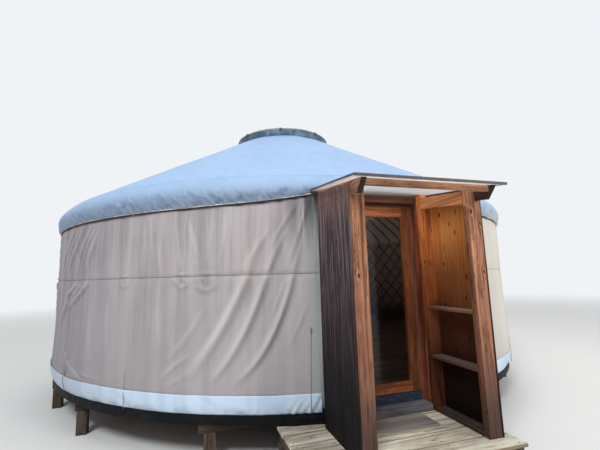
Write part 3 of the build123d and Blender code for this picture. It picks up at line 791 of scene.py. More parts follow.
# The right-hand side is paler cream: painted sunlight, with some sun-bleaching.
colour = paint.mix(across.step(0.6, 2.4) * 0.75, colour, tone(230, 226, 213))
splashed = (1 - high.step(0.50, 0.95)) * rusts.step(0.4, 0.6)
colour = paint.mix(splashed * 0.25, colour, tone(152, 146, 141))
# Fold ridges are lighter on their upper side: painted highlight, with some wear.
colour = paint.mix(paint.attribute("worn") * 0.45, colour, tone(221, 213, 213))
# A dark band just under the eave rope: painted shadow of the valance.
colour = paint.mix(paint.attribute("gap") * 0.92, colour, tone(38, 37, 42))
facing = (0 - outwards).step(3.0, 3.2) * (1 - abs(across).step(0.690, 0.715))
colour = paint.mix(facing * 0.45, colour, tone(160, 172, 172))
# High up beside the porch the cloth darkens in patches: partly damp, partly painted shade of the porch roof.
damp_and_shade = paint.noise(place, (20, 20, 1.0), 3, 0.6, (2, 8, 4)).step(0.30, 0.54) * high.step(1.75, 2.20)
near_porch = (0 - outwards).step(3.0, 3.2) * (1 - abs(across).step(0.70, 1.05))
colour = paint.shade(damp_and_shade * near_porch * 0.8, colour, (0.26, 0.28, 0.29, 1))
# Darker still in the corner under the porch roof: painted shadow.
corner = (0 - outwards).step(3.0, 3.2) * (1 - abs(across).step(0.64, 0.86)) * high.step(2.06, 2.34)
colour = paint.shade(corner * 0.8, colour, (0.20, 0.20, 0.22, 1))
# Darker towards the far left: painted shade.
colour = paint.shade(across.step(-1.7, -3.3) * 0.9, colour, (0.72, 0.73, 0.77, 1))
canvas = paint.surface(colour, 0.82, relief, 0.0006)
columns_round = np.concatenate([np.arange(8.6, 34.0, 0.20), np.arange(34.0, 66.0, 0.26),
                                np.arange(66.0, 351.4, 0.65), [351.4]])
rows_high = np.sort(np.append(np.linspace(cloth_bottom, cloth_top, 122), girth_height + np.array([-0.007, 0, 0.007])))


def eave_height(degrees):
    """The eave rope hangs lower away from the porch."""
    away = np.minimum(degrees % 360, -degrees % 360)
    return 2.256 + 0.105 * np.exp(-np.clip(away - 10.5, 0, None) / 9)


panel_ends = (8.6, 122.85, 237.15, 351.4)
for number, (start, end) in enumerate(zip(panel_ends, panel_ends[1:])):
    inside = columns_round[(columns_round > start) & (columns_round < end)]
    degrees, height = np.meshgrid(np.concatenate([[start], inside, [end]]), rows_high, indexing="ij")
    radius = wall_shape(degrees, height)
    shadow, worn = fold_height(degrees, height, all_folds)[1:]
    # Darker in hollows and at the foot of each fold's steep side: painted shade.
    crease = np.clip(hollows(radius, 5, 3, 0.010) * 0.3 + shadow * 0.08, 0, 1)
    # The band under the eave rope that is painted dark as the valance's shadow.
    gap = np.clip((height - eave_height(degrees) + 0.034) / 0.010, 0, 1)
    length = math.radians(end - start) * wall_radius
    panel = turned_sheet(f"wall_cloth_{number + 1}", around(degrees, radius, height), canvas,
                         numbers={"crease": crease.ravel(), "gap": gap.ravel(), "worn": worn.ravel()})
    thicken(panel, 0.002)
    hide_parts(f"wall_canvas_{6 - 2 * number}", f"wall_canvas_{5 - 2 * number}")
    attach(panel, "root")

# Hem band
# A pale strip sewn to the foot of the wall cloth. A cord in its lower hem draws it in over the platform's
# edge, and it gathers into small pleats beside the porch.
band_start = math.degrees(math.asin(0.6235 / wall_radius))
band_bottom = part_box("hem_band")[0].z
beside = np.arange(band_start, 24, 0.12)
columns = np.concatenate([beside, np.arange(24, 336, 0.32), 360 - beside[::-1]])
degrees, share = np.meshgrid(columns, np.linspace(0, 1, 13), indexing="ij")
along = np.radians(degrees) * wall_radius
gather = np.exp(-(np.minimum(degrees, 360 - degrees) - band_start) * 0.25)
height = band_bottom + (bulge_top - band_bottom) * share + smooth_noise(along, along * 0, 0.9, 1.0, 23) * 0.005
radius = 3.597 + 0.034 * share + np.sin(math.pi * share ** 0.8) * 0.010
radius = radius + smooth_noise(along, height, 0.5, 0.2, 21) * 0.003
pleats = smooth_noise(along + 0.6 * height, height, 0.034, 0.20, 22)
radius = radius + pleats * (0.0004 + (0.016 * gather + 0.0010) * (1 - share) ** 0.7)
radius = radius + smooth_noise(along - 1.5 * height, height, 0.12, 0.30, 24) * 0.004
for tie_at in wall_ties:
    pulled = np.hypot(along - math.radians(tie_at) * wall_radius, height - 0.60)
    radius = radius - 0.014 * np.exp(-(pulled / 0.06) ** 2)
# Darker in the hollows of the pleats: painted shade.
crease = hollows(radius, 4, 2, 0.006) * 0.8
paint, colour, relief = canvas_paint("hem_canvas", tone(193, 215, 238), tone(213, 230, 249), (0.50, 0.53, 0.57, 1))
place = paint.place()
low_down = 1 - paint.axes(place)[2].step(0.41, 0.49)
splash = paint.noise(place, (5, 5, 9), 5)
colour = paint.mix(splash.step(0.45, 0.7) * low_down * 0.6, colour, tone(131, 135, 128))
# Greyer towards the far left: painted shade, as on the wall cloth.
colour = paint.mix(paint.axes(place)[0].step(-1.9, -3.3) * 0.5, colour, tone(163, 159, 165))
hem = turned_sheet("hem_band_cloth", around(degrees, radius, height), paint.surface(colour, 0.6, relief, 0.0006),
                   numbers={"crease": crease.ravel()})
thicken(hem, 0.003)
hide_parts("hem_band")
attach(hem, "root")

# Roof cloth
# Pale blue-grey proofed canvas, cut as a cone with a rounded shoulder and a short valance that is gathered
# under the eave rope. A line of stitching runs round the shoulder. It is cut away over the porch.
roof_slope = math.radians(29.8)
crown_side = 0.8755
knee_centre = 3.370
knee_level = 2.3623
knee_radius = 0.250
sheet_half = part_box("porch_roof_sheet")[1].x
over_porch = 2.402
eave_folds = (
    ((52.6, 2.251), (51.9, 2.294), (51.6, 2.344), 0.024, -0.012),
    ((47.1, 2.270), (46.4, 2.304), (47.0, 2.369), 0.024, -0.012),
    ((44.4, 2.271), (44.9, 2.334), (45.7, 2.399), 0.026, -0.014),
    ((41.5, 2.252), (42.0, 2.332), (43.0, 2.398), 0.028, -0.014),
    ((39.0, 2.238), (39.9, 2.299), (40.3, 2.360), 0.024, -0.010),
    ((34.4, 2.267), (32.7, 2.314), (31.1, 2.324), 0.026, -0.014),
    ((28.6, 2.276), (27.7, 2.308), (26.6, 2.339), 0.024, -0.012),
    ((25.4, 2.281), (24.5, 2.313), (23.8, 2.338), 0.024, -0.011),
    ((21.7, 2.322), (20.9, 2.346), (20.1, 2.371), 0.024, -0.010),
    ((29.6, 2.425), (28.7, 2.393), (27.7, 2.335), 0.034, -0.009),
    ((36.5, 2.440), (34.5, 2.400), (32.0, 2.340), 0.040, -0.008),
    ((60.0, 2.430), (57.0, 2.360), (55.5, 2.270), 0.030, -0.010),
    ((66.0, 2.280), (65.0, 2.330), (65.5, 2.400), 0.026, -0.012),
)
beside_porch_folds = (
    ((15.7, 2.362), (14.9, 2.397), (13.8, 2.404), 0.034, -0.022),
    ((11.5, 2.341), (11.4, 2.412), (11.7, 2.457), 0.032, -0.026),
)
folds_round = [(*[(turn * a + shift, z) for a, z in corners], width, rise)
               for turn, shift in ((1, 0), (1, 55), (-1, 180), (1, 175), (-1, 305), (-1, 360))
               for *corners, width, rise in eave_folds + (beside_porch_folds if shift in (0, 360) else ())]


def roof_profile(share, depth):
    """Radius and height along the roof, so far inside its outer face, from the crown at 0 to the eave at 1."""
    bend = knee_radius - depth
    corner = knee_centre + bend * math.sin(roof_slope)
    corner_height = knee_level + bend * math.cos(roof_slope)
    sloped = (corner - crown_side) / math.cos(roof_slope)
    bent = bend * (math.pi / 2 - roof_slope)
    place = share * (sloped + bent + 0.107)
    lean = math.pi / 2 - roof_slope - np.clip((place - sloped) / bend, 0, math.pi / 2 - roof_slope)
    on_slope = np.minimum(place, sloped)
    on_knee = place > sloped
    radius = np.where(on_knee, knee_centre + bend * np.cos(lean), crown_side + on_slope * math.cos(roof_slope))
    on_straight = corner_height + (sloped - on_slope) * math.sin(roof_slope)
    height = np.where(on_knee, knee_level + bend * np.sin(lean), on_straight)
    return radius, height - np.clip(place - sloped - bent, 0, None)


columns = np.concatenate([np.linspace(-8, 8, 21)[:-1], np.arange(8, 72, 0.20), np.arange(72, 352, 0.80)])
rows = np.concatenate([np.linspace(0, 0.74, 14), np.linspace(0.76, 0.88, 8), np.linspace(0.885, 1.0, 38)])
degrees, share = np.meshgrid(columns, rows, indexing="ij")
radius, height = roof_profile(share, 0)
eave = eave_height(degrees)
over = (np.abs(radius * np.sin(np.radians(degrees))) < sheet_half + 0.006) & (np.cos(np.radians(degrees)) > 0)
height = np.maximum(height, np.where(over, over_porch, eave))
along = np.radians(degrees) * wall_radius
drop = np.clip((2.53 - height) / 0.20, 0, 1)
beside = np.exp(-np.abs(np.minimum(degrees % 360, -degrees % 360) - 10.8) / 3.0)
puffed = np.sin(math.pi * np.clip((2.53 - height) / (2.53 - eave), 0, 1)) * 0.028
tucked = np.clip((eave + 0.045 - height) / 0.045, 0, 1) * 0.010
at_hem = np.exp(-np.clip(height - eave, 0, None) / 0.055)
wrinkles = smooth_noise(along, height, 0.050, 0.20, 31) + 0.7 * smooth_noise(along, height, 0.024, 0.14, 32)
gathers = smooth_noise(along - 0.8 * height, height, 0.046, 0.16, 35)
slants = smooth_noise(along + height * 0.9, height, 0.10, 0.30, 33)
folded, shadow, worn = fold_height(np.mod(degrees, 360), height, folds_round)
loose = wrinkles * (0.0034 + 0.005 * beside) + slants * 0.009 + np.abs(gathers) * at_hem * 0.020
ridged = np.abs(smooth_noise(along - 0.9 * height, height, 0.085, 0.11, 36))
loose = loose + (0.20 - np.minimum(ridged, 0.20)) * 0.050
radius = radius + puffed - tucked + drop * (loose + folded)
height = height + (1 - drop) * smooth_noise(along, radius, 0.8, 0.8, 34) * 0.005
# Darker in hollows and below the creases' steep sides: painted shade.
crease = np.clip((hollows(radius, 5, 4, 0.005) * 0.9 + shadow * 0.8) * drop, 0, 1)
paint, colour, relief = canvas_paint("roof_canvas", tone(154, 185, 222), tone(163, 193, 231), (0.30, 0.33, 0.36, 1))
across, outwards, high = paint.axes(paint.place())
radial = (across * across + outwards * outwards) ** 0.5
stitching = 1 - abs(radial - 3.512).step(0.002, 0.008)
valance = 1 - high.step(2.30, 2.50)
# Greyer on the shoulder and darker on the valance below it: painted shade.
colour = paint.mix((1 - high.step(2.42, 2.62)) * 0.45, colour, tone(150, 172, 195))
colour = paint.mix(valance * 0.80, colour, tone(122, 139, 161))
puckered = abs(paint.noise(paint.place(), (8, 8, 5), 1, 0.5) - 0.5)
# Paler on the right-hand side: painted sunlight, with some sun-bleaching.
colour = paint.mix(across.step(0.8, 2.6) * (valance * 0.45 + 0.15), colour, tone(204, 217, 221))
colour = paint.shade(stitching * 0.45, colour, (0.45, 0.47, 0.5, 1))
lichen = paint.noise(paint.place(), (2.2, 2.2, 2.2), 5)
colour = paint.shade(lichen.step(0.5, 0.75) * 0.10, colour, (0.75, 0.80, 0.80, 1))
roof = turned_sheet("roof_cloth", around(degrees, radius, height)[:, ::-1],
                    paint.surface(colour, 0.6, relief - stitching * 0.4 + puckered * valance * 80, 0.0006), closed=True,
                    numbers={"crease": crease[:, ::-1].ravel()})
thicken(roof, 0.003)
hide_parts(*[f"roof_canvas_{k}" for k in range(1, 7)])
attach(roof, "root")

# Roof lining
# The same felt under the roof cloth, lying on the poles.
degrees, share = np.meshgrid(np.arange(0, 360, 3.0), np.linspace(0, 0.97, 24), indexing="ij")
radius, height = roof_profile(share, 0.052)
roof_lining = turned_sheet("roof_lining", around(degrees, radius, np.maximum(height, 2.366))[:, ::-1], felt_material,
                           closed=True)
thicken(roof_lining, 0.005)
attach(roof_lining, "root")

# Roof poles
# Seventy-two round ash poles, steam-bent over the shoulder: one from each head of the lattice to the crown.
pole_count = 72
pole_radius = 0.0165
bend = knee_radius - 0.0605 - pole_radius
run = [(0, -(knee_centre + bend * math.cos(a)), knee_level + 0.002 + bend * math.sin(a))
       for a in np.linspace(math.pi / 2 - roof_slope, 0, 9)]
run.insert(0, (0, -0.878, run[0][2] + (-run[0][1] - 0.878) * math.tan(roof_slope)))
pole_wood = timber("roof_poles", "Z", tone(100, 66, 40), tone(163, 120, 79), knots=0.3, checks=0, rough=0.5,
                   relief=0.0004)
rule = Rule("roof_poles_bent", {"Material": pole_wood, "Poles": pole_count, "Radius": pole_radius,
                                "Step": 2 * math.pi / pole_count})
route = rule.add("GeometryNodeMeshToCurve", {}, {0: rule.ports["Geometry"]})
section = rule.add("GeometryNodeCurvePrimitiveCircle", {}, {"Resolution": 8, "Radius": rule.ports["Radius"]})
pole = rule.add("GeometryNodeCurveToMesh", {}, {"Curve": route, "Profile Curve": section, "Fill Caps": True})
line = rule.add("GeometryNodeMeshLine", {}, {"Count": rule.ports["Poles"], "Offset": (0, 0, 0)})
turn = rule.add("ShaderNodeCombineXYZ", {}, {2: rule.add("GeometryNodeInputIndex") * rule.ports["Step"]})
poles = rule.made(rule.add("GeometryNodeInstanceOnPoints", {}, {"Points": line, "Instance": pole, "Rotation": turn}),
                  run, [(k, k + 1) for k in range(len(run) - 1)])
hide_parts("roof_poles")
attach(poles, "root")


# Ropes
# Thin laid rope, dark with age at mid height, where it draws the wall in, and pale under the valance.
def tube(route, outward, radius, sides=6):
    """A round bar along a route."""
    along = np.gradient(route, axis=0)
    across = np.cross(outward, along)
    across /= np.linalg.norm(across, axis=1)[:, None]
    out = np.cross(along, across)
    out /= np.linalg.norm(out, axis=1)[:, None]
    turns = (np.arange(sides) * 2 * math.pi / sides)[:, None]
    points = route[:, None] + radius * (np.cos(turns) * across[:, None] + np.sin(turns) * out[:, None])
    last = sides * (len(route) - 1)
    faces = [(k + j, k + (j + 1) % sides, k + sides + (j + 1) % sides, k + sides + j)
             for k in range(0, last, sides) for j in range(sides)]
    faces += [tuple(range(sides - 1, -1, -1)), tuple(last + j for j in range(sides))]
    return [tuple(p) for p in points.reshape(-1, 3)], faces, [0.0] * (last + sides)


def rope_paint(name, dark, pale):
    paint = Paint(name)
    strands = paint.noise(paint.place(), (150, 150, 150), 2)
    return paint.surface(paint.mix(strands.step(0.35, 0.65), dark, pale), 0.85, strands, 0.002)


rope_radius = 0.0026
degrees = np.arange(10.0, 350.01, 0.5)
girth_line = wall_shape(degrees[:, None], np.full((len(degrees), 1), girth_height))[:, 0]
low_rope = tube(around(degrees, girth_line + 0.0015, girth_height), around(degrees, 1.0, 0.0), rope_radius)
girth_rope = boards_piece("girth_rope_low", [low_rope], rope_paint("rope_dark", tone(109, 100, 100), tone(156, 146, 144)),
                          smooth=True)
degrees = np.arange(10.4, 349.61, 0.5)
high_rope = tube(around(degrees, wall_radius + 0.0125, eave_height(degrees) - 0.002), around(degrees, 1.0, 0.0),
                 0.0050)
eave_rope = boards_piece("girth_rope_high", [high_rope], rope_paint("rope_pale", tone(185, 172, 163),
                                                                     tone(243, 230, 221)), smooth=True)
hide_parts("girth_ropes")
for piece in (girth_rope, eave_rope):
    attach(piece, "root")

# Seams and ties of the wall
# A felled seam runs down each joint of the wall cloth, and a facing borders the porch. A cord hangs from a
# toggle beside the porch, and others tie the gathered cloth down to the platform.
wall_seams = (10.35, 39.9, 84.0, 122.85, 163.0, 203.0, 237.15, 280.0, 320.0, 349.65)
heights = np.linspace(cloth_bottom + 0.16, cloth_top - 0.03, 60)
tapes = []
for seam in wall_seams:
    cloth = wall_shape(np.full((1, 60), seam), heights[None, :])[0]
    tapes.append(strip_along(around(seam, cloth + 0.0008, heights), np.tile(around(seam, 1.0, 0.0), (60, 1)), 0.009,
                             0.003))
tape = Paint("seam_tape")
across, outwards, high = tape.axes(tape.place())
stitch = (high * 700).sine().step(-0.2, 0.4)
colour = tape.mix(stitch, tone(159, 151, 153), tone(193, 185, 185))
# Darker high up near the porch: painted shade of the porch roof.
colour = tape.shade((1 - abs(across).step(0.70, 0.90)) * high.step(1.90, 2.25) * 0.9, colour, (0.3, 0.3, 0.32, 1))
seams = boards_piece("wall_seams", tapes, tape.surface(colour, 0.8, stitch, 0.0008))
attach(seams, "root")

tie_starts = ((11.2, 1.105, -0.5), (39.9, 0.74, 0.2), *[(a, 0.60, 0.5) for a in wall_ties], (320.0, 0.74, -0.3),
              (348.8, 1.105, 0.5))
cords = []
for tie_at, start, slant in tie_starts:
    levels = np.linspace(start, 0.407, 24)
    directions = tie_at - slant * (start - levels)
    cloth = wall_shape(directions[:, None], np.maximum(levels, bulge_top)[:, None])[:, 0]
    share = np.clip((levels - band_bottom) / (bulge_top - band_bottom), 0, 1)
    band = 3.601 + 0.034 * share + np.sin(math.pi * share ** 0.8) * 0.010
    radius = np.maximum(cloth + 0.002, np.where(levels > bulge_top, 3.60, band))
    radius = np.convolve(np.pad(radius, 2, "edge"), np.ones(5) / 5, "valid")
    cords.append(tube(around(directions, radius, levels), around(directions, 1.0, 0.0), 0.003))
for tie_at, level in ((11.2, 1.105), (348.8, 1.105), *[(a, 0.603) for a in wall_ties]):
    middle = wall_shape(np.array([[tie_at]]), np.array([[level]]))[0, 0] + 0.009
    levels = np.linspace(level - 0.022, level + 0.022, 4)
    cords.append(tube(around(tie_at, middle, levels), np.tile(around(tie_at, 1.0, 0.0), (4, 1)), 0.008, 8))
tie_piece = boards_piece("wall_ties", cords, rope_paint("tie_cord", tone(105, 98, 96), tone(163, 154, 150)), smooth=True)
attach(tie_piece, "root")


# Crown
# A laminated ring that the poles socket into, with arched bars across it, under a dark painted kerb and a
# low clear dome, held to the kerb by clips.
def round_grain(paint):
    """Coordinates whose Y follows a ring round the yurt's axis."""
    across, outwards, high = paint.axes(paint.place())
    radial = (across * across + outwards * outwards) ** 0.5
    return paint.add("ShaderNodeCombineXYZ", {}, {0: radial, 1: across.math("ARCTAN2", across, outwards) * 0.84, 2: high})


ring_wood = timber("crown_ring", "Y", tone(113, 74, 44), tone(178, 131, 85), knots=0.2, checks=0.2, rough=0.5,
                   turn=round_grain)
soften("crown_ring", 0.004, ring_wood)
soften("crown_spokes", 0.003, timber("crown_bars", "X", tone(113, 74, 44), tone(178, 131, 85), knots=0.2, rough=0.5))
kerb = Paint("crown_kerb")
place = kerb.place()
chalk = kerb.noise(place, (12, 12, 3), 5)
runs = kerb.noise(place, (30, 30, 2), 4)
colour = kerb.mix(chalk.step(0.42, 0.68) * 0.6, tone(56, 82, 104), tone(112, 140, 162))
colour = kerb.shade(runs.step(0.55, 0.7) * 0.5, colour, (0.6, 0.62, 0.62, 1))
soften("crown_rim", 0.003, kerb.surface(colour, 0.45, chalk, 0.0008))

dome_low, dome_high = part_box("crown_dome")
dome_radius = dome_high.x + 0.0045
lip_down, lip_up = 0.014, 0.016
dome_rise = dome_high.z - dome_low.z - lip_up
curve = (dome_radius ** 2 + dome_rise ** 2) / (2 * dome_rise)
profile = [(dome_radius, dome_low.z - lip_down), (dome_radius, dome_low.z + lip_up)]
profile += [(curve * math.sin(a), dome_high.z - curve * (1 - math.cos(a)))
            for a in np.linspace(math.asin(dome_radius / curve), 0.004, 22)[1:]]
profile = np.array(profile)
acrylic = Paint("dome_acrylic")
grime_and_shade = acrylic.noise(acrylic.place(), (4, 4, 4), 5).step(0.45, 0.75)
acrylic_material = acrylic.surface(acrylic.mix(grime_and_shade, tone(206, 218, 216), tone(168, 182, 176)), grime_and_shade * 0.25 + 0.12,
                                   Transmission_Weight=0.75, IOR=1.3)
dome = turned_sheet("dome_shell", around(np.arange(0, 360, 5.0)[:, None], profile[:, 0], profile[:, 1]),
                    acrylic_material, closed=True)
thicken(dome, 0.004)
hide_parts("crown_dome")
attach(dome, "root")
first_clip = 16.7
clip_places = around(first_clip + 45.0 * np.arange(8), dome_radius + 0.002, dome_low.z - 0.006).tolist()
clip = Paint("clip_steel")
dulled = clip.noise(clip.place(), (50, 50, 50), 3)
clip_metal = clip.surface(clip.mix(dulled, tone(52, 60, 68), tone(92, 102, 108)), 0.6, dulled, 0.0003)
rule = Rule("dome_clips", {"Material": clip_metal, "First": -math.radians(first_clip), "Step": -math.pi / 4})
block = rule.add("GeometryNodeMeshCube", {}, {"Size": (0.045, 0.014, 0.050)})
turn = rule.add("ShaderNodeCombineXYZ", {}, {
    2: rule.ports["First"] + rule.add("GeometryNodeInputIndex") * rule.ports["Step"]})
clips = rule.made(rule.add("GeometryNodeInstanceOnPoints", {}, {
    "Points": rule.ports["Geometry"], "Instance": block, "Rotation": turn}), clip_places)
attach(clips, "root")

# Door frame
# Dark red-brown stained timber: two jambs and a head with a bead that the leaf closes against, and a worn
# blue-painted sill. A pale brush seal runs round the bead.
jamb_wood = timber("door_frame", "Z", tone(92, 44, 29), tone(172, 100, 72), knots=0.6, checks=0.4)
for part in ("door_left_jamb", "door_right_jamb"):
    soften(part, 0.003, jamb_wood)
soften("door_head", 0.003, timber("door_head", "X", tone(77, 42, 29), tone(128, 83, 62), knots=0.3))
blue = Paint("sill_paint")
rubbed = blue.noise(blue.place(), (14, 40, 40), 5).step(0.50, 0.66)
colour = blue.mix(rubbed * 0.7, tone(44, 59, 85), tone(96, 98, 96))
soften("door_sill", 0.002, blue.surface(colour, 0.5, rubbed * -1, 0.0006))
leaf_low, leaf_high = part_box("door_leaf")
seal_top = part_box("door_head")[0].z
bead_side = 0.455
seal_width = 0.006
seal_near, seal_far = -3.479, -3.466
seals = [plank((x, seal_near, leaf_low.z + 0.05), (x + seal_width, seal_far, seal_top), "Z", 0.0, 0.001)
         for x in (-bead_side, bead_side - seal_width)]
seals.append(plank((-bead_side, seal_near, seal_top - seal_width), (bead_side, seal_far, seal_top), "X", 0.0, 0.001))
seal = Paint("brush_seal")
hairs = seal.noise(seal.place(), (500, 500, 60), 2)
brush = boards_piece("door_seal", seals, seal.surface(seal.mix(hairs, tone(81, 68, 59), tone(122, 107, 96)), 0.9,
                                                      hairs, 0.001))
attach(brush, "root")

# Door leaf
# Orange-brown varnished softwood: two stiles with the rails tenoned between them, and glazing beads round the
# double glazing. The lever handle and three butt hinges are brushed steel.
stile = 0.100
top_rail = 0.106
foot_rail = 0.081
bead = 0.014
leaf_near, leaf_far = leaf_low.y, leaf_high.y
glass_near, glass_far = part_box("door_glass")[0].y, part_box("door_glass")[1].y
pane_side = leaf_high.x - stile
pane_low, pane_high = leaf_low.z + foot_rail, leaf_high.z - top_rail
bead_end = pane_side - bead
varnish = {"knots": 0.45, "checks": 0.1, "rough": 0.45, "relief": 0.0006}
stile_wood = timber("door_stiles", "Z", tone(113, 62, 36), tone(174, 107, 70), **varnish)
rail_wood = timber("door_rails", "X", tone(152, 83, 49), tone(223, 139, 92), **varnish)
uprights = [plank((x, leaf_near, leaf_low.z), (x + stile, leaf_far, leaf_high.z), "Z", abs(x), 0.003)
            for x in (-leaf_high.x, pane_side)]
crossbars = [plank((-pane_side, leaf_near, low), (pane_side, leaf_far, high), "X", low, 0.003)
             for low, high in ((leaf_low.z, pane_low), (pane_high, leaf_high.z))]
for near, far in ((leaf_near + 0.003, glass_near - 0.0005), (glass_far + 0.0005, leaf_far - 0.003)):
    uprights += [plank((x, near, pane_low), (x + bead, far, pane_high), "Z", 0.5, 0.004) for x in
                 (-pane_side, bead_end)]
    crossbars += [plank((-bead_end, near, z), (bead_end, far, z + bead), "X", 0.4, 0.004) for z in
                  (pane_low, pane_high - bead)]
leaf = boards_piece("door_uprights", uprights, stile_wood)
rails = boards_piece("door_crossbars", crossbars, rail_wood)
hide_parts("door_leaf")
for piece in (leaf, rails):
    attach(piece, "door")
glass = Paint("door_glass")
smears = glass.noise(glass.place(), (3, 3, 9), 5).step(0.5, 0.8)
settle(nodes["door_glass"], glass.surface(tone(226, 232, 230), smears * 0.06 + 0.01, Transmission_Weight=1.0,
                                          IOR=1.24))
for part in ("door_handle", "hinge_frame_halves", "hinge_leaf_halves"):
    settle(nodes[part], steel_metal)

# Porch frame
# Sawn posts in front and against the door frame, top rails between them and sloping rafters with cut tails,
# all stained orange-brown. Rain has greyed the fronts and darkened the feet of the front posts. Painted shade
# darkens the back posts towards their feet and the rafters' cut ends to near black, and the right rafter is
# darker, partly damp and partly painted shade.
front_wood = timber("porch_front_posts", "Z", tone(104, 54, 35), tone(222, 162, 124), knots=0.95, checks=0.95,
                    lines=70, relief=0.004, scarred=0.9, mottled=0.85,
                    stains=((2.0, 1.2, tone(118, 77, 62), 0.45), (1.1, 0.4, tone(51, 42, 40), 0.9)))
# The back posts darken towards their feet: painted shade.
back_wood = timber("porch_back_posts", "Z", tone(172, 83, 36), tone(255, 172, 98), knots=0.8, checks=0.3,
                   stains=((2.1, 1.2, tone(131, 68, 46), 0.7), (1.5, 0.6, tone(16, 11, 10), 0.97)))
rail_stain = timber("porch_top_rails", "Y", tone(174, 100, 62), tone(255, 187, 133), knots=0.9, checks=0.3)
# The rafters' cut ends, which look along -Y, are near black: painted shade, with dark end grain.
rafter_wood = timber("porch_rafters", "Y", tone(139, 100, 83), tone(223, 185, 161), knots=0.5, checks=0.5,
                     end_tone=tone(16, 13, 13))
# The right rafter is a darker copy of the rafter stain: partly damp, partly painted shade.
damp_and_shaded_wood = timber("porch_damp_rafter", "Y", tone(51, 33, 30), tone(105, 74, 64), knots=0.5, checks=0.5,
                   end_tone=tone(16, 13, 13))
batten_wood = timber("porch_batten", "X", tone(120, 74, 51), tone(204, 156, 122), knots=0.6, checks=0.7, scarred=0.6)
for part in ("porch_left_front_post", "porch_right_front_post"):
    soften(part, 0.005, front_wood)
soften("porch_back_posts", 0.004, back_wood)
soften("porch_top_rails", 0.003, rail_stain)
soften("porch_left_rafter", 0.003, rafter_wood)
soften("porch_right_rafter", 0.003, damp_and_shaded_wood)
soften("porch_front_batten", 0.004, batten_wood)

# Porch boards
# Seven upright boards a side, nailed to the outside of the posts. Outside the stain has gone nearly black,
# with pale streaks where it has worn off, and painted shade darkens it towards the bottom. Inside it is still
# orange-brown, with painted shade that darkens it below the shelves and a little painted light at the top.
boards_inner, boards_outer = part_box("porch_right_boards")[0].x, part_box("porch_right_boards")[1].x
boards_front = -4.268
boards_a_side = 7
board_pitch = (-wall_radius - boards_front) / boards_a_side
roof_at_wall = 2.374
roof_fall = 0.121


def porch_roof(y):
    """Height of the porch roof's underside."""
    return roof_at_wall + roof_fall * (y + wall_radius)


paint = Paint("porch_boards")
place = paint.place()
across, outwards, high = paint.axes(place)
board = paint.attribute("board")
shift = paint.add("ShaderNodeCombineXYZ", {}, {0: board * 13.1, 1: board * 7.7, 2: board * 9.3})
fibres = paint.noise(place, (160, 160, 1.8), 4, 0.7, shift)
streaks = paint.noise(place, (48, 48, 0.6), 3, 0.6, shift)
slow = paint.noise(place, (6, 6, 0.5), 3, 0.5, shift)
distance = paint.add("ShaderNodeTexVoronoi", {}, {"Vector": paint.mapped(place, (10, 10, 5), shift), "Scale": 1.0})
knot = 1 - distance.step(0.07, 0.13)
rings = ((slow + (0.30 - distance).greater(0) * 0.35) * 60).sine()
growth = rings * 0.05 + fibres * 0.55 + streaks * 0.45
dark = paint.ramp(growth, [(0.36, tone(49, 36, 36)), (0.50, tone(83, 68, 70)), (0.66, tone(148, 133, 135))])
dark = paint.mix(high.step(1.95, 2.35) * 0.5, dark, tone(137, 105, 94))
# Outside, the boards darken towards the bottom: painted shade.
outer_shade = paint.ramp(high * 0.4, [(0.14, (0.04, 0.04, 0.045, 1)), (0.32, (0.10, 0.10, 0.11, 1)),
                               (0.56, (0.50, 0.48, 0.50, 1)), (0.84, (1.05, 1.05, 1.05, 1))])
dark = paint.shade(1.0, dark, outer_shade)
warm = paint.ramp(growth, [(0.30, tone(208, 115, 53)), (0.70, tone(255, 189, 111))])
warm = paint.shade((1 - distance.step(0.10, 0.17)) * 0.9, warm, (0.28, 0.12, 0.07, 1))
# Inside, the boards darken below the shelves and brighten a little at the top: painted shade and painted light.
shade = paint.ramp(high * 0.4, [(0.14, (0.004, 0.004, 0.004, 1)), (0.28, (0.02, 0.018, 0.030, 1)),
                                (0.42, (0.085, 0.062, 0.100, 1)), (0.64, (0.38, 0.32, 0.33, 1)),
                                (0.88, (1.06, 1.06, 1.02, 1))])
warm = paint.shade(1.0, warm, shade)
colour = paint.mix(abs(across).step(boards_inner + 0.002, boards_inner + 0.004), warm, dark)
boards_wood = paint.surface(colour, 0.72, growth - knot * 0.3, 0.0016, Specular_IOR_Level=0.15)
for side, side_name in ((-1, "left"), (1, "right")):
    low_x, high_x = sorted((side * boards_inner, side * boards_outer))
    planks = [plank((low_x, y + 0.0006, 0), (high_x, y + board_pitch - 0.0006, 0), "Z", chance.random(), 0.0025,
                    lambda point: (deck_high.z, porch_roof(point[1]) - 0.024))
              for y in boards_front + board_pitch * np.arange(boards_a_side)]
    wall = boards_piece(f"porch_{side_name}_planks", planks, boards_wood)
    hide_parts(f"porch_{side_name}_boards")
    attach(wall, "root")
nails = [(side * (boards_outer + 0.0003), boards_front + (k + share) * board_pitch, level)
         for side in (-1, 1) for k in range(boards_a_side) for share in (0.28, 0.72)
         for level in (0.36, 0.84, 1.32, 2.20)]
nail = Paint("nails")
iron = nail.surface(nail.mix(nail.noise(nail.place(), (90, 90, 90), 2), tone(25, 22, 23), tone(44, 37, 35)), 0.8)
fixings("porch_nails", nails, (0, math.pi / 2, 0), 0.0042, 0.0024, iron)

# Porch shelves
# Three softwood shelves on each side between the posts, grey with dust on top; painted shade makes the
# lower ones darker.
# The lower shelves are darker: painted shade.
shelf_wood = timber("porch_shelves", "Y", tone(92, 64, 53), tone(163, 124, 105), knots=0.4, dusty=tone(163, 148, 141),
                    stains=((1.3, 0.4, tone(29, 25, 24), 0.95),))
for part in ("porch_left_shelves", "porch_right_shelves"):
    soften(part, 0.004, shelf_wood)

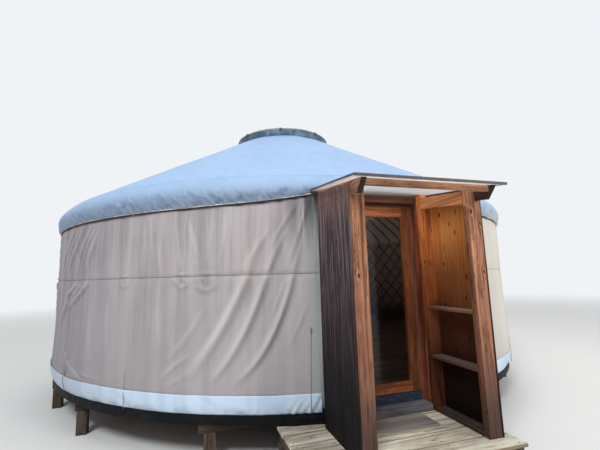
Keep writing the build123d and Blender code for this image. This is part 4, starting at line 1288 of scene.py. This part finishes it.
# Porch roof
# A twin-walled clear sheet, greyed by weather, that lets the daylight through. Its open edges are closed by a
# dark strip, and screws with washers hold it to the rafters.
sheet = Paint("roof_sheet")
place = sheet.place()
webs = (sheet.axes(place)[0] * (2 * math.pi / 0.016)).sine().step(0.6, 1.0)
dirt = sheet.noise(place, (3, 2, 3), 5).step(0.42, 0.7)
colour = sheet.shade(webs * 0.12, sheet.mix(dirt, tone(255, 250, 242), tone(236, 232, 226)), (0.7, 0.72, 0.74, 1))
colour = sheet.mix(abs(sheet.axes(place)[0]).step(0.600, 0.606) * 0.6, colour, tone(222, 190, 166))
# A faint emission makes the sheet glow: painted light for the daylight through it.
settle(nodes["porch_roof_sheet"], sheet.surface(colour, dirt * 0.15 + 0.45, Transmission_Weight=0.92, IOR=1.1,
                                               Emission_Color=tone(226, 222, 218), Emission_Strength=0.06))
sheet_low, sheet_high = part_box("porch_roof_sheet")


def edge_strip(low_x, high_x, near, far, lift_low, lift_high):
    """A strip along the sheet, between two heights above the porch roof's underside."""
    corners = [(x, y, porch_roof(y) + lift) for lift in (lift_low, lift_high)
               for x, y in ((low_x, near), (high_x, near), (high_x, far), (low_x, far))]
    return corners, [(3, 2, 1, 0), (4, 5, 6, 7), (0, 1, 5, 4), (1, 2, 6, 5), (2, 3, 7, 6), (3, 0, 4, 7)], [0.0] * 8


trim = Paint("sheet_trim")
worn = trim.noise(trim.place(), (30, 30, 30), 4).step(0.5, 0.7)
trims = [edge_strip(-sheet_half - 0.002, sheet_half + 0.002, sheet_low.y - 0.003, sheet_low.y + 0.012, -0.001, 0.020)]
for side in (-1, 1):
    inner, outer = sorted((side * (sheet_half - 0.010), side * (sheet_half + 0.003)))
    trims.append(edge_strip(inner, outer, sheet_low.y, sheet_high.y, 0.006, 0.019))
trim_piece = boards_piece("sheet_trims", trims, trim.surface(trim.mix(worn, tone(53, 49, 49), tone(92, 85, 83)), 0.5))
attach(trim_piece, "root")
washers = [(side * 0.5775, y, porch_roof(y) + 0.0185) for side in (-1, 1) for y in np.linspace(-4.40, -3.68, 4)]
washers += [(x, -4.41, porch_roof(-4.41) + 0.0185) for x in (-0.36, -0.12, 0.12, 0.36)]
fixings("sheet_screws", washers, (-0.12, 0, 0), 0.011, 0.004, steel_metal)

for node_name, node in nodes.items():
    if not node.hide_render and not node.data.materials:
        print("no finish on", node_name)

low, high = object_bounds()
